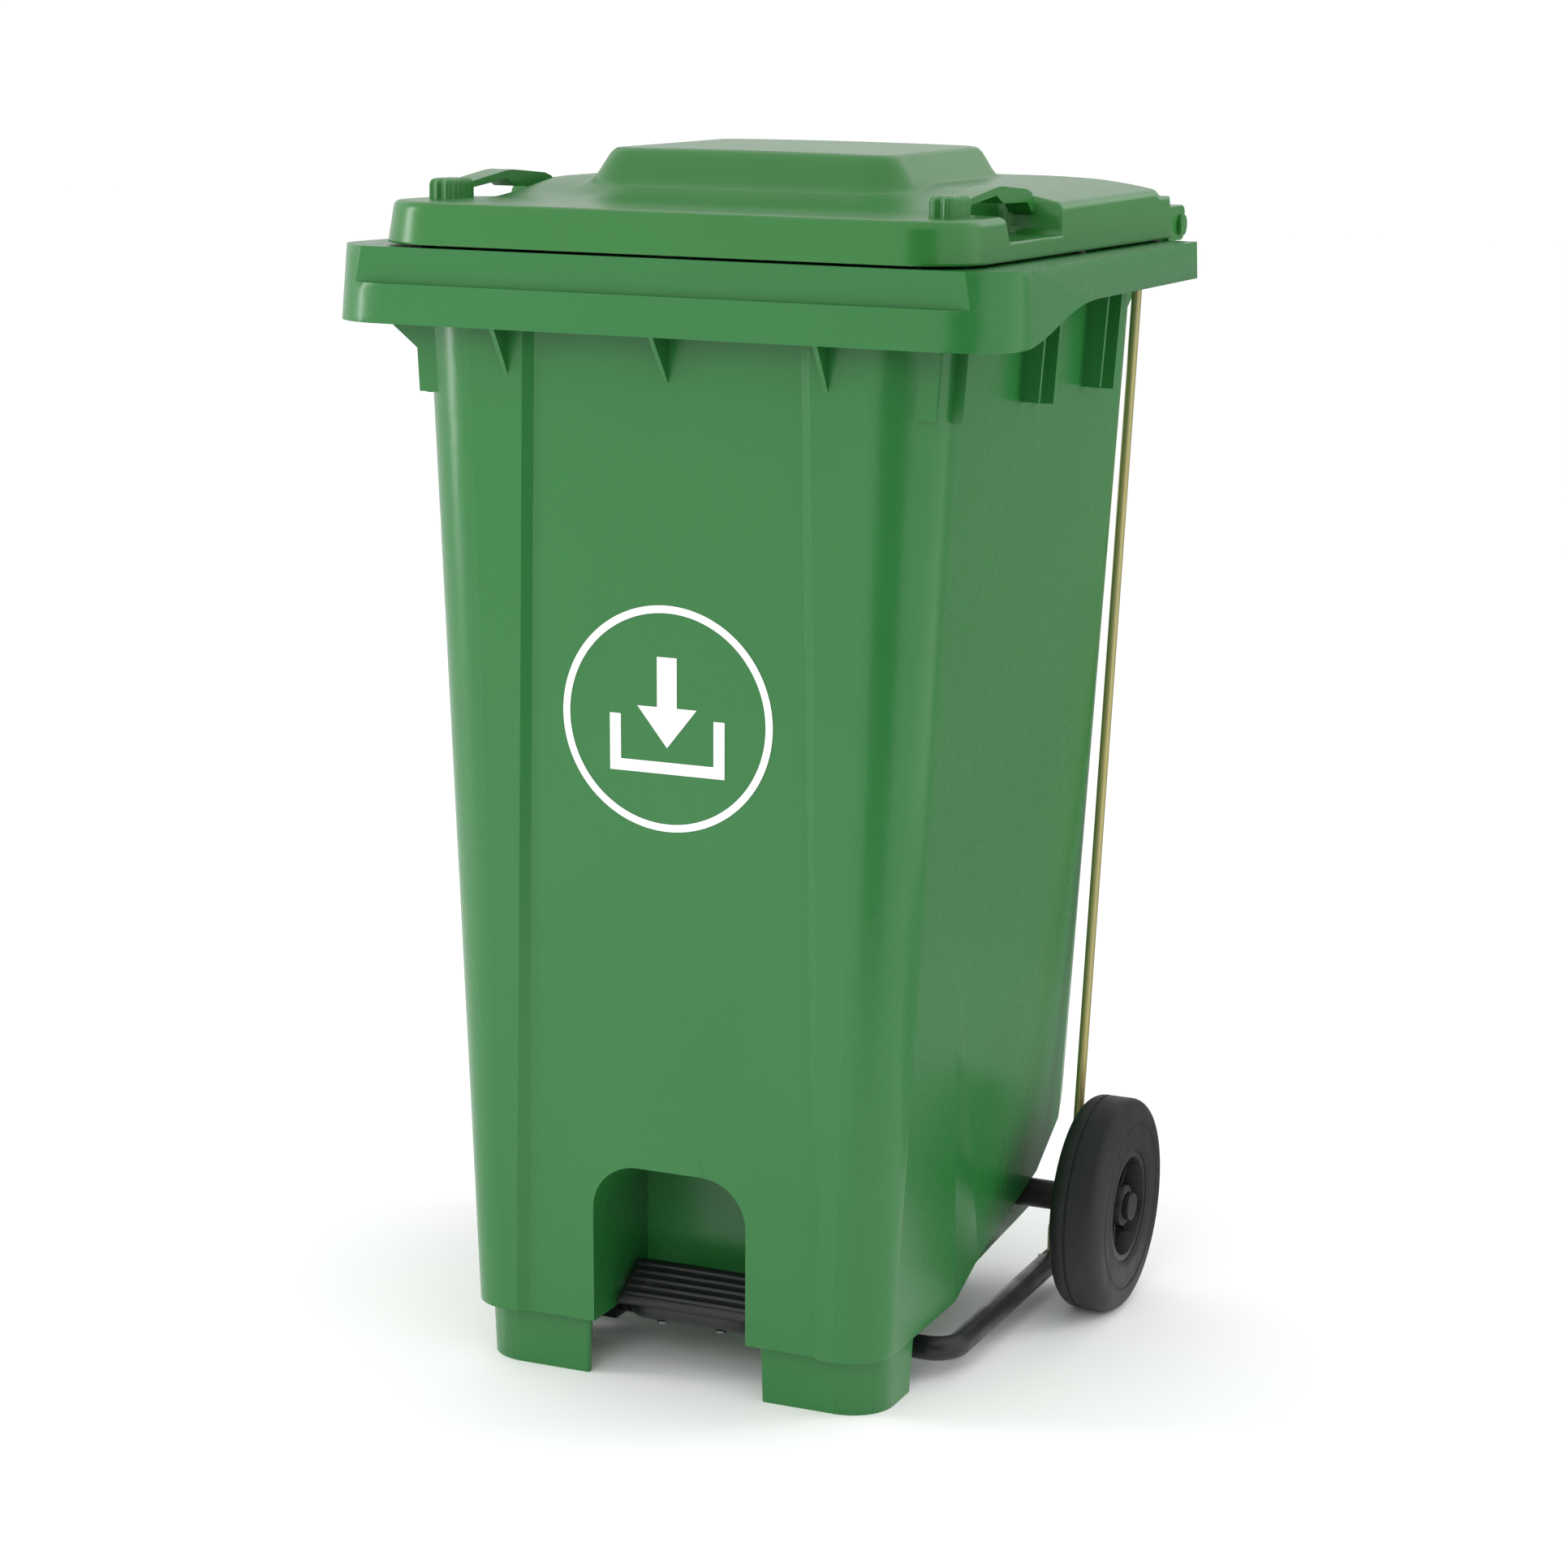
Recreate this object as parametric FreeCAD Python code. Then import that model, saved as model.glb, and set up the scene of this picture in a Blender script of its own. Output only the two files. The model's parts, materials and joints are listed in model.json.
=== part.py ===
import FreeCAD, Part
import math
import os

# Two-wheeled waste bin with a pedal-lifted lid, in millimetres.
# Frame: Z up, floor at z = 0, the front (pedal side) faces -Y, X runs across the bin.
# The origin is the centre of the bin's footprint on the floor.

V = FreeCAD.Vector
X_AXIS = V(1, 0, 0)
Z_AXIS = V(0, 0, 1)
SIDES = (("left", -1), ("right", 1))

# --- tub: a drafted box, drawn as one section at its foot and one at its mouth ---
WALL = 4.5
FOOT_Z, MOUTH_Z = 54.0, 966.0
FOOT_HALF, MOUTH_HALF = 196.0, 236.0
FOOT_FRONT, MOUTH_FRONT = -276.0, -302.0
FOOT_REAR, MOUTH_REAR = 214.0, 214.0
FOOT_CORNER_R, MOUTH_CORNER_R, REAR_CORNER_R = 40.0, 60.0, 38.0
PANEL_FOOT_HALF, PANEL_MOUTH_HALF = 136.0, 116.0
PANEL_DEPTH, PANEL_SLOPE = 6.0, 8.5
PANEL_EDGE_R = 1.2
FIN_LEAN = 7.0

# --- the tub's underside, front to rear, as (y, z) points of the line it is cut along ---
UNDERSIDE = [(-96, 44), (-84, 54), (-29, 78), (122, 118), (176, 156), (197, 211), (216, 300)]

# --- pedal recess in the front wall ---
ARCH_HALF, ARCH_TOP, ARCH_BACK, ARCH_R = 72.0, 201.0, -160.0, 42.0

# --- front feet ---
FOOT_IN, FOOT_OUT, FOOT_FACE, FOOT_LENGTH, FOOT_R, FOOT_SPLAY = 81.0, 190.0, -257.0, 80.0, 40.0, 38.0

# --- rim band round the mouth ---
RIM_TOP, RIM_DEEP, RIM_SHALLOW = 970.0, 909.0, 938.0
RIM_FRONT, RIM_REAR = -329.0, 236.0
RIM_HALF_FRONT, RIM_HALF_REAR = 302.0, 283.0
RIM_R, RIM_FLARE, RIM_SKIN, RIM_FLANGE = 58.0, 3.5, 4.0, 5.0
STEP_Z, STEP_BACK = 941.0, 5.0

# --- lid ---
LID_BOTTOM, LID_SHOULDER, LID_EDGE, LID_CROWN, DOME_TOP = 972.5, 1004.0, 1012.0, 1025.0, 1054.0
LID_FRONT, LID_REAR = -322.0, 255.0
LID_HALF_FRONT, LID_HALF_REAR = 260.0, 255.0
LID_R, LID_CROWN_IN, LID_SKIN = 58.0, 88.0, 4.0
DOME_BASE, DOME_FACE, DOME_R = (152.0, -162.0, 118.0), (127.0, -141.0, 97.0), 24.0
DOME_ROUND = 9.0

# --- finger recess and grip in each side of the lid, front end and rear end ---
GRIP_SLOT, GRIP_FLOOR, GRIP_DEEP = (-205.0, -73.0), 987.0, 52.0
GRIP_X0, GRIP_X1, GRIP_FACE, GRIP_TOP = 208.0, 231.0, -262.0, 1029.0

# --- lid hinge, pedal pivot and push rods: (y, z) of each axis line along X ---
HINGE_Y, HINGE_Z, HINGE_PIN_R = 280.0, 982.0, 6.0
PIVOT_Y, PIVOT_Z = -137.0, 27.0
ROD_TOP_Y, ROD_TOP_Z, ROD_X = 235.0, 959.0, 226.0
ROD_FOOT_Y, ROD_FOOT_Z, LEG_X = 138.0, 27.0, 212.0
ROD_LEAN, ROD_KNEE_Z, ROD_HEEL_Z = 0.096, 108.0, 60.0
ROD_R, TUBE_R, TUBE_BORE_R = 4.5, 11.0, 8.5
LINK_PIN_R = 4.0

# --- hinge ears of the lid, and the lever inside each ---
EAR_IN, EAR_OUT, EAR_SKIN, EAR_TOP, EAR_R = 203.0, 249.0, 4.5, 997.0, 15.0
LEVER_X0, LEVER_X1 = 212.0, 216.0
SLOT_NEAR, SLOT_FAR, SLOT_R = 46.0, 56.5, 7.0

# --- wheels ---
AXLE_Y, AXLE_Z, AXLE_R = 112.0, 100.0, 10.0
WHEEL_R, WHEEL_IN, WHEEL_OUT = 100.0, 246.0, 296.0
TYRE_BORE_R, HUB_BARREL_R, BUSH_R = 52.0, 19.0, 13.0
RUNNING_GAP = 0.05
FACE_GAP = 0.4

# --- rear handle ---
HANDLE_R, HANDLE_Z, HANDLE_HALF = 14.0, 936.0, 196.0
HANDLE_Y = -RIM_FRONT - HANDLE_R

# --- pedal crossbar ---
PAD_X, CROSSBAR_X, CROSSBAR_Y, CROSSBAR_Z = 68.0, 50.0, -221.0, 57.0
TUBE_TURN_X, TUBE_BEND_R = 72.0, 22.0

# --- printed mark on the front panel ---
EMBLEM_Z, EMBLEM_R, EMBLEM_STROKE, FILM = 596.0, 95.0, 6.5, 0.6

# --- screws and studs: shank radius, and (x, y) places on the +X side ---
SCREW_R, PAD_SCREW_X = 2.4, 28.0
LEVER_SCREW_X = 231.0
LEVER_SCREW_YS, LEVER_SCREW_LENGTH = (HINGE_Y - 18.5, HINGE_Y - 7), 8.0
CLAMP_HALF, CLAMP_SCREW_Y = 27.0, 20.5
BUFFER_PLACES = ((222.0, -280.0), (252.0, -20.0), (249.0, 200.0))


# ------------------------------------------------------------------ helpers
def box(x0, x1, y0, y1, z0, z1):
    """Block between two corners."""
    return Part.makeBox(x1 - x0, y1 - y0, z1 - z0, V(x0, y0, z0))


def cylinder_x(x0, x1, y, z, radius):
    """Round bar along X."""
    return Part.makeCylinder(radius, x1 - x0, V(x0, y, z), X_AXIS)


def ring_x(x0, x1, y, z, outer_r, inner_r):
    """Tube along X."""
    return cylinder_x(x0, x1, y, z, outer_r).cut(cylinder_x(x0 - 1, x1 + 1, y, z, inner_r))


def outline(points, radii, z):
    """Closed wire in the plane z: straight runs with an arc of the given radius at each corner."""
    pts = [V(x, y, z) for x, y in points]
    count = len(pts)
    ends = []
    for i in range(count):
        before = (pts[i - 1] - pts[i]).normalize()
        after = (pts[(i + 1) % count] - pts[i]).normalize()
        half = before.getAngle(after) / 2
        reach = radii[i] / math.tan(half)
        start = pts[i] + before * reach
        finish = pts[i] + after * reach
        bisector = (before + after).normalize()
        middle = pts[i] + bisector * (radii[i] / math.sin(half) - radii[i])
        ends.append((start, middle, finish))
    edges = []
    for i in range(count):
        start, middle, finish = ends[i]
        if radii[i] > 0:
            edges.append(Part.Arc(start, middle, finish).toShape())
        edges.append(Part.LineSegment(finish, ends[(i + 1) % count][0]).toShape())
    return Part.Wire(edges)


def loft(*wires):
    """Solid between stacked outlines, with straight walls."""
    return Part.makeLoft(list(wires), True, True)


def plate_x(points, x0, x1):
    """Plate between two X planes, its outline given as (y, z) points."""
    wire = Part.makePolygon([V(x0, y, z) for y, z in points + points[:1]])
    return Part.Face(wire).extrude(V(x1 - x0, 0, 0))


def plate_y(points, y0, y1):
    """Plate between two Y planes, its outline given as (x, z) points."""
    wire = Part.makePolygon([V(x, y0, z) for x, z in points + points[:1]])
    return Part.Face(wire).extrude(V(0, y1 - y0, 0))


def mirror_x(shape):
    """The same shape on the other side of the bin."""
    return shape.mirror(V(0, 0, 0), X_AXIS)


def both_sides(shape):
    """A shape and its mirror image, as a list."""
    return [shape, mirror_x(shape)]


def fuse_all(shapes):
    """One solid from many that touch or overlap."""
    return shapes[0].multiFuse(shapes[1:]).removeSplitter()


def blend(z, low_value, high_value):
    """Linear change with height between the tub's foot and its mouth."""
    t = (z - FOOT_Z) / (MOUTH_Z - FOOT_Z)
    return low_value + (high_value - low_value) * t


def bent_rod(points, bend_r, radius):
    """Round bar along straight runs, with an arc of bend_r at each inner point."""
    pts = [V(*p) for p in points]
    solids = []
    start = pts[0]
    for i in range(1, len(pts) - 1):
        before = (pts[i - 1] - pts[i]).normalize()
        after = (pts[i + 1] - pts[i]).normalize()
        half = before.getAngle(after) / 2
        reach = bend_r / math.tan(half)
        arc_start = pts[i] + before * reach
        centre = pts[i] + (before + after).normalize() * (bend_r / math.sin(half))
        run = arc_start - start
        solids.append(Part.makeCylinder(radius, run.Length, start, run))
        disc = Part.Face(Part.Wire(Part.makeCircle(radius, arc_start, before)))
        turn = 180 - math.degrees(2 * half)
        solids.append(disc.revolve(centre, after.cross(before), turn))
        start = pts[i] + after * reach
    run = pts[-1] - start
    solids.append(Part.makeCylinder(radius, run.Length, start, run))
    return fuse_all(solids)


def offset_line(points, distance):
    """Polyline moved square to itself, towards +z for a line that runs towards +y."""
    moved = []
    for i, (y, z) in enumerate(points):
        normals = []
        for a, b in ((i - 1, i), (i, i + 1)):
            if a >= 0 and b < len(points):
                dy, dz = points[b][0] - points[a][0], points[b][1] - points[a][1]
                length = math.hypot(dy, dz)
                normals.append((-dz / length, dy / length))
        ny = sum(n[0] for n in normals) / len(normals)
        nz = sum(n[1] for n in normals) / len(normals)
        stretch = distance / (ny * ny + nz * nz)
        moved.append((y + ny * stretch, z + nz * stretch))
    return moved


# ------------------------------------------------------------------ tub
def tub_outline(z, inset):
    """Plan section of the tub at height z: rounded corners, and a sunk panel in the front wall."""
    half = blend(z, FOOT_HALF, MOUTH_HALF) - inset
    front = blend(z, FOOT_FRONT, MOUTH_FRONT) + inset
    rear = blend(z, FOOT_REAR, MOUTH_REAR) - inset
    panel = blend(z, PANEL_FOOT_HALF, PANEL_MOUTH_HALF) + 0.4 * inset
    strip = panel + PANEL_SLOPE
    sunk = front + PANEL_DEPTH
    points = [(half, rear), (-half, rear), (-half, front), (-strip, front), (-panel, sunk),
              (panel, sunk), (strip, front), (half, front)]
    corner = blend(z, FOOT_CORNER_R, MOUTH_CORNER_R) - inset
    back = REAR_CORNER_R - inset
    return outline(points, [back, back, corner] + 4 * [PANEL_EDGE_R] + [corner], z)


def foot_form(side, inset):
    """Drafted block of one front foot, shrunk by inset."""
    def section(z, grow):
        inner = FOOT_IN + inset - grow
        outer = FOOT_OUT - inset + grow
        front = FOOT_FACE + inset - grow
        rear = FOOT_FACE + FOOT_LENGTH - inset + grow
        points = [(side * inner, front), (side * outer, front), (side * outer, rear),
                  (side * (inner + FOOT_SPLAY), rear)]
        return outline(points, [3, FOOT_R - inset, 3, 3], z)
    return loft(section(inset, 0), section(FOOT_Z + WALL + 1, 2))


def arch_form(grow):
    """Block of the pedal recess, round-topped, grown by the wall round it."""
    half, top, back, corner = ARCH_HALF + grow, ARCH_TOP + grow, ARCH_BACK + grow, ARCH_R + grow
    front = FOOT_FRONT - 60
    block = box(-half, half, front, back, FOOT_Z - 20, top)
    upright = [e for e in block.Edges
               if abs(e.BoundBox.ZMin - top) < 0.01 and e.BoundBox.YLength > 50]
    return block.makeFillet(corner, upright)


def tub_form(inset):
    """Solid form of the tub, its feet joined on, shrunk by inset on every face."""
    form = loft(tub_outline(FOOT_Z + inset, inset), tub_outline(MOUTH_Z, inset))
    line = offset_line(UNDERSIDE, inset)
    below = line + [(400, 290), (400, -60), (-112, -60)]
    form = form.cut(plate_x(below, -300, 300))
    form = form.cut(arch_form(inset))
    for _, side in SIDES:
        form = form.fuse(foot_form(side, inset))
    return form


# ------------------------------------------------------------------ rim
def rim_outline(z, inset):
    """Plan section of the rim band: tapers to the rear, flares downward."""
    grow = RIM_FLARE * (RIM_TOP - z) / (RIM_TOP - RIM_DEEP) - inset - RIM_FLARE
    points = [(RIM_HALF_REAR + grow, RIM_REAR), (-RIM_HALF_REAR - grow, RIM_REAR),
              (-RIM_HALF_FRONT - grow, RIM_FRONT - grow), (RIM_HALF_FRONT + grow, RIM_FRONT - grow)]
    return outline(points, [3, 3, RIM_R - inset, RIM_R - inset], z)


def rim_band():
    """The band's skin and top flange, deep at the front, shallow from mid-side to the rear."""
    form = loft(rim_outline(RIM_DEEP, 0), rim_outline(RIM_TOP, 0))
    hollow = loft(rim_outline(RIM_DEEP - 1, RIM_SKIN), rim_outline(RIM_TOP - RIM_FLANGE, RIM_SKIN))
    band = form.cut(hollow)
    # open tail between the two side wings, where the rods and hinge arms work
    band = band.cut(box(-250, 250, MOUTH_REAR - 2, 300, 900, 990))
    band = band.cut(box(-300, 300, RIM_REAR - 0.5, 300, 900, 990))
    # sunk upper tier across the front
    face = RIM_FRONT + RIM_FLARE + STEP_BACK
    half = RIM_HALF_FRONT
    band = band.cut(box(-half, half, RIM_FRONT - 10, face, STEP_Z, RIM_TOP + 1))
    tier = box(-half, half, face, face + RIM_SKIN, STEP_Z, RIM_TOP)
    ledge = box(-half, half, RIM_FRONT, face + RIM_SKIN, STEP_Z - 3, STEP_Z)
    band = band.fuse([tier.common(form), ledge.common(form)])
    # lower edge: deep band eases up to the shallow one in an S
    curve = Part.BezierCurve()
    curve.setPoles([V(-300, -305, RIM_DEEP), V(-300, -215, RIM_DEEP),
                    V(-300, -175, RIM_SHALLOW), V(-300, -80, RIM_SHALLOW)])
    closing = Part.makePolygon([V(-300, -80, RIM_SHALLOW), V(-300, 400, RIM_SHALLOW),
                                V(-300, 400, 800), V(-300, -305, 800), V(-300, -305, RIM_DEEP)])
    below = Part.Face(Part.Wire([curve.toShape()] + closing.Edges))
    band = band.cut(below.extrude(V(600, 0, 0)))
    return band


def rim_gussets():
    """Three thin triangles under the front of the rim band."""
    plates = []
    for x in (-141, 0, 141):
        sunk = PANEL_DEPTH if x == 0 else 0
        tip_y = blend(868, FOOT_FRONT, MOUTH_FRONT) + sunk + 2
        outline_yz = [(RIM_FRONT + 3, RIM_DEEP + 2), (tip_y, 868), (tip_y, 958), (RIM_FRONT + 3, STEP_Z - 6)]
        plates.append(plate_x(outline_yz, x - 2, x + 2))
    return plates


def rim_fins():
    """Pairs of upright fins between the tub's side walls and the rim band; they widen a little upward."""
    plates = []
    for y, fin, wall, foot_z in ((-283, 228, 205, 852), (-250, 239, 222, 848), (-91, 247, 225, 852),
                                 (-53, 247, 225, 848), (71, 247, 225, 852), (109, 247, 225, 848)):
        points = [(wall, foot_z), (fin, foot_z), (fin + FIN_LEAN, RIM_TOP - 2), (wall, RIM_TOP - 2)]
        plates += both_sides(plate_y(points, y - 2.2, y + 2.2))
    # a slanting brace from the foremost left fin out to the band's lower edge
    brace = [(-226, 884), (-254, 906), (-254, 930), (-226, 930)]
    plates.append(plate_y(brace, -285.2, -280.8))
    return plates


# ------------------------------------------------------------------ rear of the body
def hinge_lugs():
    """Two upright arms that carry the hinge pins and the ends of the handle."""
    root_y = MOUTH_REAR - 3
    shape_yz = [(root_y, 850), (HANDLE_Y, HANDLE_Z - HANDLE_R), (HANDLE_Y + 8, HANDLE_Z),
                (HINGE_Y + 13, HINGE_Z - 6), (HINGE_Y - 13, HINGE_Z - 4), (HINGE_Y - 16, 964), (root_y, 964)]
    plate = plate_x(shape_yz, 180, 199)
    plate = plate.fuse(cylinder_x(180, 199, HINGE_Y, HINGE_Z, 14))
    bore = cylinder_x(170, 210, HINGE_Y, HINGE_Z, HINGE_PIN_R)
    return both_sides(plate.cut(bore))


def rear_handle():
    """Round push-bar between the hinge arms, with two stays to the tub's rear wall."""
    pieces = [cylinder_x(-HANDLE_HALF, HANDLE_HALF, HANDLE_Y, HANDLE_Z, HANDLE_R)]
    for x in (-62, 62):
        stay = plate_x([(MOUTH_REAR - 3, 880), (HANDLE_Y, HANDLE_Z - 8), (HANDLE_Y, HANDLE_Z + 8),
                        (MOUTH_REAR - 3, 956)], x - 3, x + 3)
        pieces.append(stay)
    pieces.append(box(-EAR_IN, EAR_IN, MOUTH_REAR - 4, MOUTH_REAR + 4, RIM_TOP - 16, RIM_TOP))
    return pieces


def axle_carrier():
    """Ribs under the rear of the tub that hold the axle, joined by a cross wall."""
    side_plate = [(-80, 60), (60, 104), (122, 122), (165, 152), (165, 112), (168, 70), (120, 66), (60, 62),
                  (-60, 52)]
    pieces = []
    for x in (60, 176):
        plate = plate_x(side_plate, x - 4, x + 4)
        boss = cylinder_x(x - 8, x + 8, AXLE_Y, AXLE_Z, 22)
        pieces += both_sides(plate.fuse(boss))
    pieces.append(plate_x([(148, 84), (154, 84), (154, 144), (148, 140)], -176, 176))
    return pieces


def pivot_saddles():
    """Blocks under the tub's floor with a half-round seat for the pedal tube."""
    pieces = []
    for side in (-1, 1):
        block = box(104, 140, PIVOT_Y - CLAMP_HALF, PIVOT_Y + CLAMP_HALF, PIVOT_Z + 0.5, FOOT_Z + 2)
        block = block.cut(cylinder_x(100, 150, PIVOT_Y, PIVOT_Z, TUBE_R + RUNNING_GAP))
        pieces.append(block if side > 0 else mirror_x(block))
    return pieces


def bin_body():
    """The moulded tub with rim, feet, pedal recess, hinge arms, handle and axle carrier in one piece."""
    body = tub_form(0).cut(tub_form(WALL))
    mouth = loft(tub_outline(RIM_DEEP - 40, WALL - 0.2), tub_outline(MOUTH_Z + 6, WALL - 0.2))
    extras = [rim_band()] + rim_gussets() + rim_fins() + hinge_lugs() + rear_handle()
    collar = fuse_all(extras).cut(mouth)
    body = body.fuse(collar)
    body = body.fuse(axle_carrier() + pivot_saddles())
    body = body.cut(cylinder_x(-200, 200, AXLE_Y, AXLE_Z, AXLE_R))
    for x in (-122, 122):
        for y in (PIVOT_Y - CLAMP_SCREW_Y, PIVOT_Y + CLAMP_SCREW_Y):
            body = body.cut(Part.makeCylinder(2.6, 24, V(x, y, PIVOT_Z - 1), Z_AXIS))
    stems = []
    for x, y in BUFFER_PLACES:
        stems += both_sides(Part.makeCylinder(SCREW_R, 12, V(x, y, RIM_TOP - 8), Z_AXIS))
    body = body.cut(stems).removeSplitter()
    return max(body.Solids, key=lambda solid: solid.Volume)


# ------------------------------------------------------------------ lid
def lid_outline(z, inset):
    """Plan section of the lid, tapering a little to the rear."""
    front, rear = LID_FRONT + inset, LID_REAR - inset
    half_f, half_r = LID_HALF_FRONT - inset, LID_HALF_REAR - inset
    points = [(half_r, rear), (-half_r, rear), (-half_f, front), (half_f, front)]
    corner = LID_R - 0.4 * inset
    return outline(points, [14, 14, corner, corner], z)


def dome_outline(z, spec, inset):
    """Plan section of the raised middle of the lid."""
    half, front, rear = spec[0] - inset, spec[1] + inset, spec[2] - inset
    points = [(half, rear), (-half, rear), (-half, front), (half, front)]
    return outline(points, [DOME_R] * 4, z)


def lid_form(skin):
    """Solid form of the lid, shrunk by the skin thickness."""
    drop = skin
    flare = loft(lid_outline(LID_BOTTOM - (1 if skin else 0), skin), lid_outline(LID_SHOULDER - drop, 4 + skin))
    shoulder = loft(lid_outline(LID_SHOULDER - drop, 4 + skin), lid_outline(LID_EDGE - drop, 10 + skin))
    crown = loft(lid_outline(LID_EDGE - drop, 10 + skin), lid_outline(LID_CROWN - drop, LID_CROWN_IN + skin))
    dome = loft(dome_outline(LID_EDGE - drop - 1, DOME_BASE, skin), dome_outline(DOME_TOP - drop, DOME_FACE, skin))
    brow = [e for e in dome.Edges if e.BoundBox.ZMin > DOME_TOP - drop - 0.1]
    dome = dome.makeFillet(DOME_ROUND, brow)
    return fuse_all([flare, shoulder, crown, dome])


def finger_recess(side):
    """Cavity cut into the lid's side and top for the fingers."""
    points = [(LID_HALF_FRONT + 10, GRIP_FLOOR), (LID_HALF_FRONT - GRIP_DEEP - 6, GRIP_FLOOR + 2),
              (LID_HALF_FRONT - GRIP_DEEP - 12, LID_CROWN + 2), (LID_HALF_FRONT + 10, LID_CROWN + 2)]
    shape = plate_y(points, GRIP_SLOT[0], GRIP_SLOT[1])
    return shape if side > 0 else mirror_x(shape)


def recess_walls(side):
    """Skin of the finger recess, seen from inside the lid."""
    low, deep = GRIP_FLOOR - LID_SKIN, LID_HALF_FRONT - GRIP_DEEP - 12 - LID_SKIN
    points = [(LID_HALF_FRONT - 3, low), (deep + 5, low), (deep, LID_EDGE), (LID_HALF_FRONT - 5, LID_SHOULDER)]
    shape = plate_y(points, GRIP_SLOT[0] - LID_SKIN, GRIP_SLOT[1] + LID_SKIN)
    return shape if side > 0 else mirror_x(shape)


def lid_grip(side):
    """Raised bar that bridges the finger recess, on a ribbed post in front and a ramp behind."""
    front, rear = GRIP_SLOT
    low, base, high = LID_EDGE - 3, LID_EDGE + 12, GRIP_TOP
    profile = [(GRIP_FACE, low), (GRIP_FACE, base), (front - 14, base + 1), (rear - 90, high), (rear - 70, high),
               (rear - 20, high - 4), (rear - 4, base - 4), (rear + 6, low), (rear + 0.5, low),
               (rear - 30, high - 12), (rear - 74, high - 12), (rear - 92, high - 9), (front - 8, base - 5),
               (front - 3, low)]
    pieces = [plate_x(profile, GRIP_X0, GRIP_X1)]
    for x in (GRIP_X0 + 7, GRIP_X1 - 7):
        pieces.append(box(x - 3, x + 3, GRIP_FACE - 3, GRIP_FACE + 2, low, base - 1))
    shape = fuse_all(pieces)
    return shape if side > 0 else mirror_x(shape)


def ear_form(x0, x1, radius, top, front):
    """Block from the lid's rear edge to a round end about the hinge axis."""
    block = box(x0, x1, front, HINGE_Y, HINGE_Z - radius, top)
    return block.fuse(cylinder_x(x0, x1, HINGE_Y, HINGE_Z, radius))


def lid():
    """Lid moulding: shell, dome, finger grips and the two hollow hinge ears."""
    shell = lid_form(0).cut(lid_form(LID_SKIN))
    ears, hollows, bores = [], [], []
    for _, side in SIDES:
        outer = ear_form(EAR_IN, EAR_OUT, EAR_R, EAR_TOP, LID_REAR - 6)
        inner = ear_form(EAR_IN + EAR_SKIN, EAR_OUT - EAR_SKIN, 30, EAR_TOP - EAR_SKIN, LID_REAR - 20)
        inner = inner.cut(box(0, 300, HINGE_Y + EAR_R - EAR_SKIN, 400, 900, 1100))
        inner = inner.common(box(0, 300, 200, 400, 900, EAR_TOP - EAR_SKIN))
        bore = cylinder_x(EAR_IN - 5, EAR_OUT + 5, HINGE_Y, HINGE_Z, HINGE_PIN_R + RUNNING_GAP)
        ears.append(outer if side > 0 else mirror_x(outer))
        hollows.append(inner if side > 0 else mirror_x(inner))
        bores.append(bore if side > 0 else mirror_x(bore))
    shell = shell.fuse([recess_walls(-1), recess_walls(1)] + ears)
    shell = shell.cut([finger_recess(-1), finger_recess(1)] + hollows + bores)
    shell = shell.fuse([lid_grip(-1), lid_grip(1)])
    return shell.cut(lever_screw_shanks()).removeSplitter()


# ------------------------------------------------------------------ hinge and lift parts
def hinge_pin(side):
    """Headed pin through the body's arm and the lid's ear."""
    pin = cylinder_x(176, EAR_OUT + 2, HINGE_Y, HINGE_Z, HINGE_PIN_R)
    head = cylinder_x(173, 180, HINGE_Y, HINGE_Z, 10)
    shape = pin.fuse(head)
    return shape if side > 0 else mirror_x(shape)


def hinge_clip(side):
    """Closed push-on cap that keeps the pin in the ear."""
    cap = cylinder_x(EAR_OUT + FACE_GAP, EAR_OUT + 4, HINGE_Y, HINGE_Z, 9)
    cap = cap.cut(cylinder_x(EAR_OUT, EAR_OUT + 2, HINGE_Y, HINGE_Z, HINGE_PIN_R))
    return cap if side > 0 else mirror_x(cap)


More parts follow.
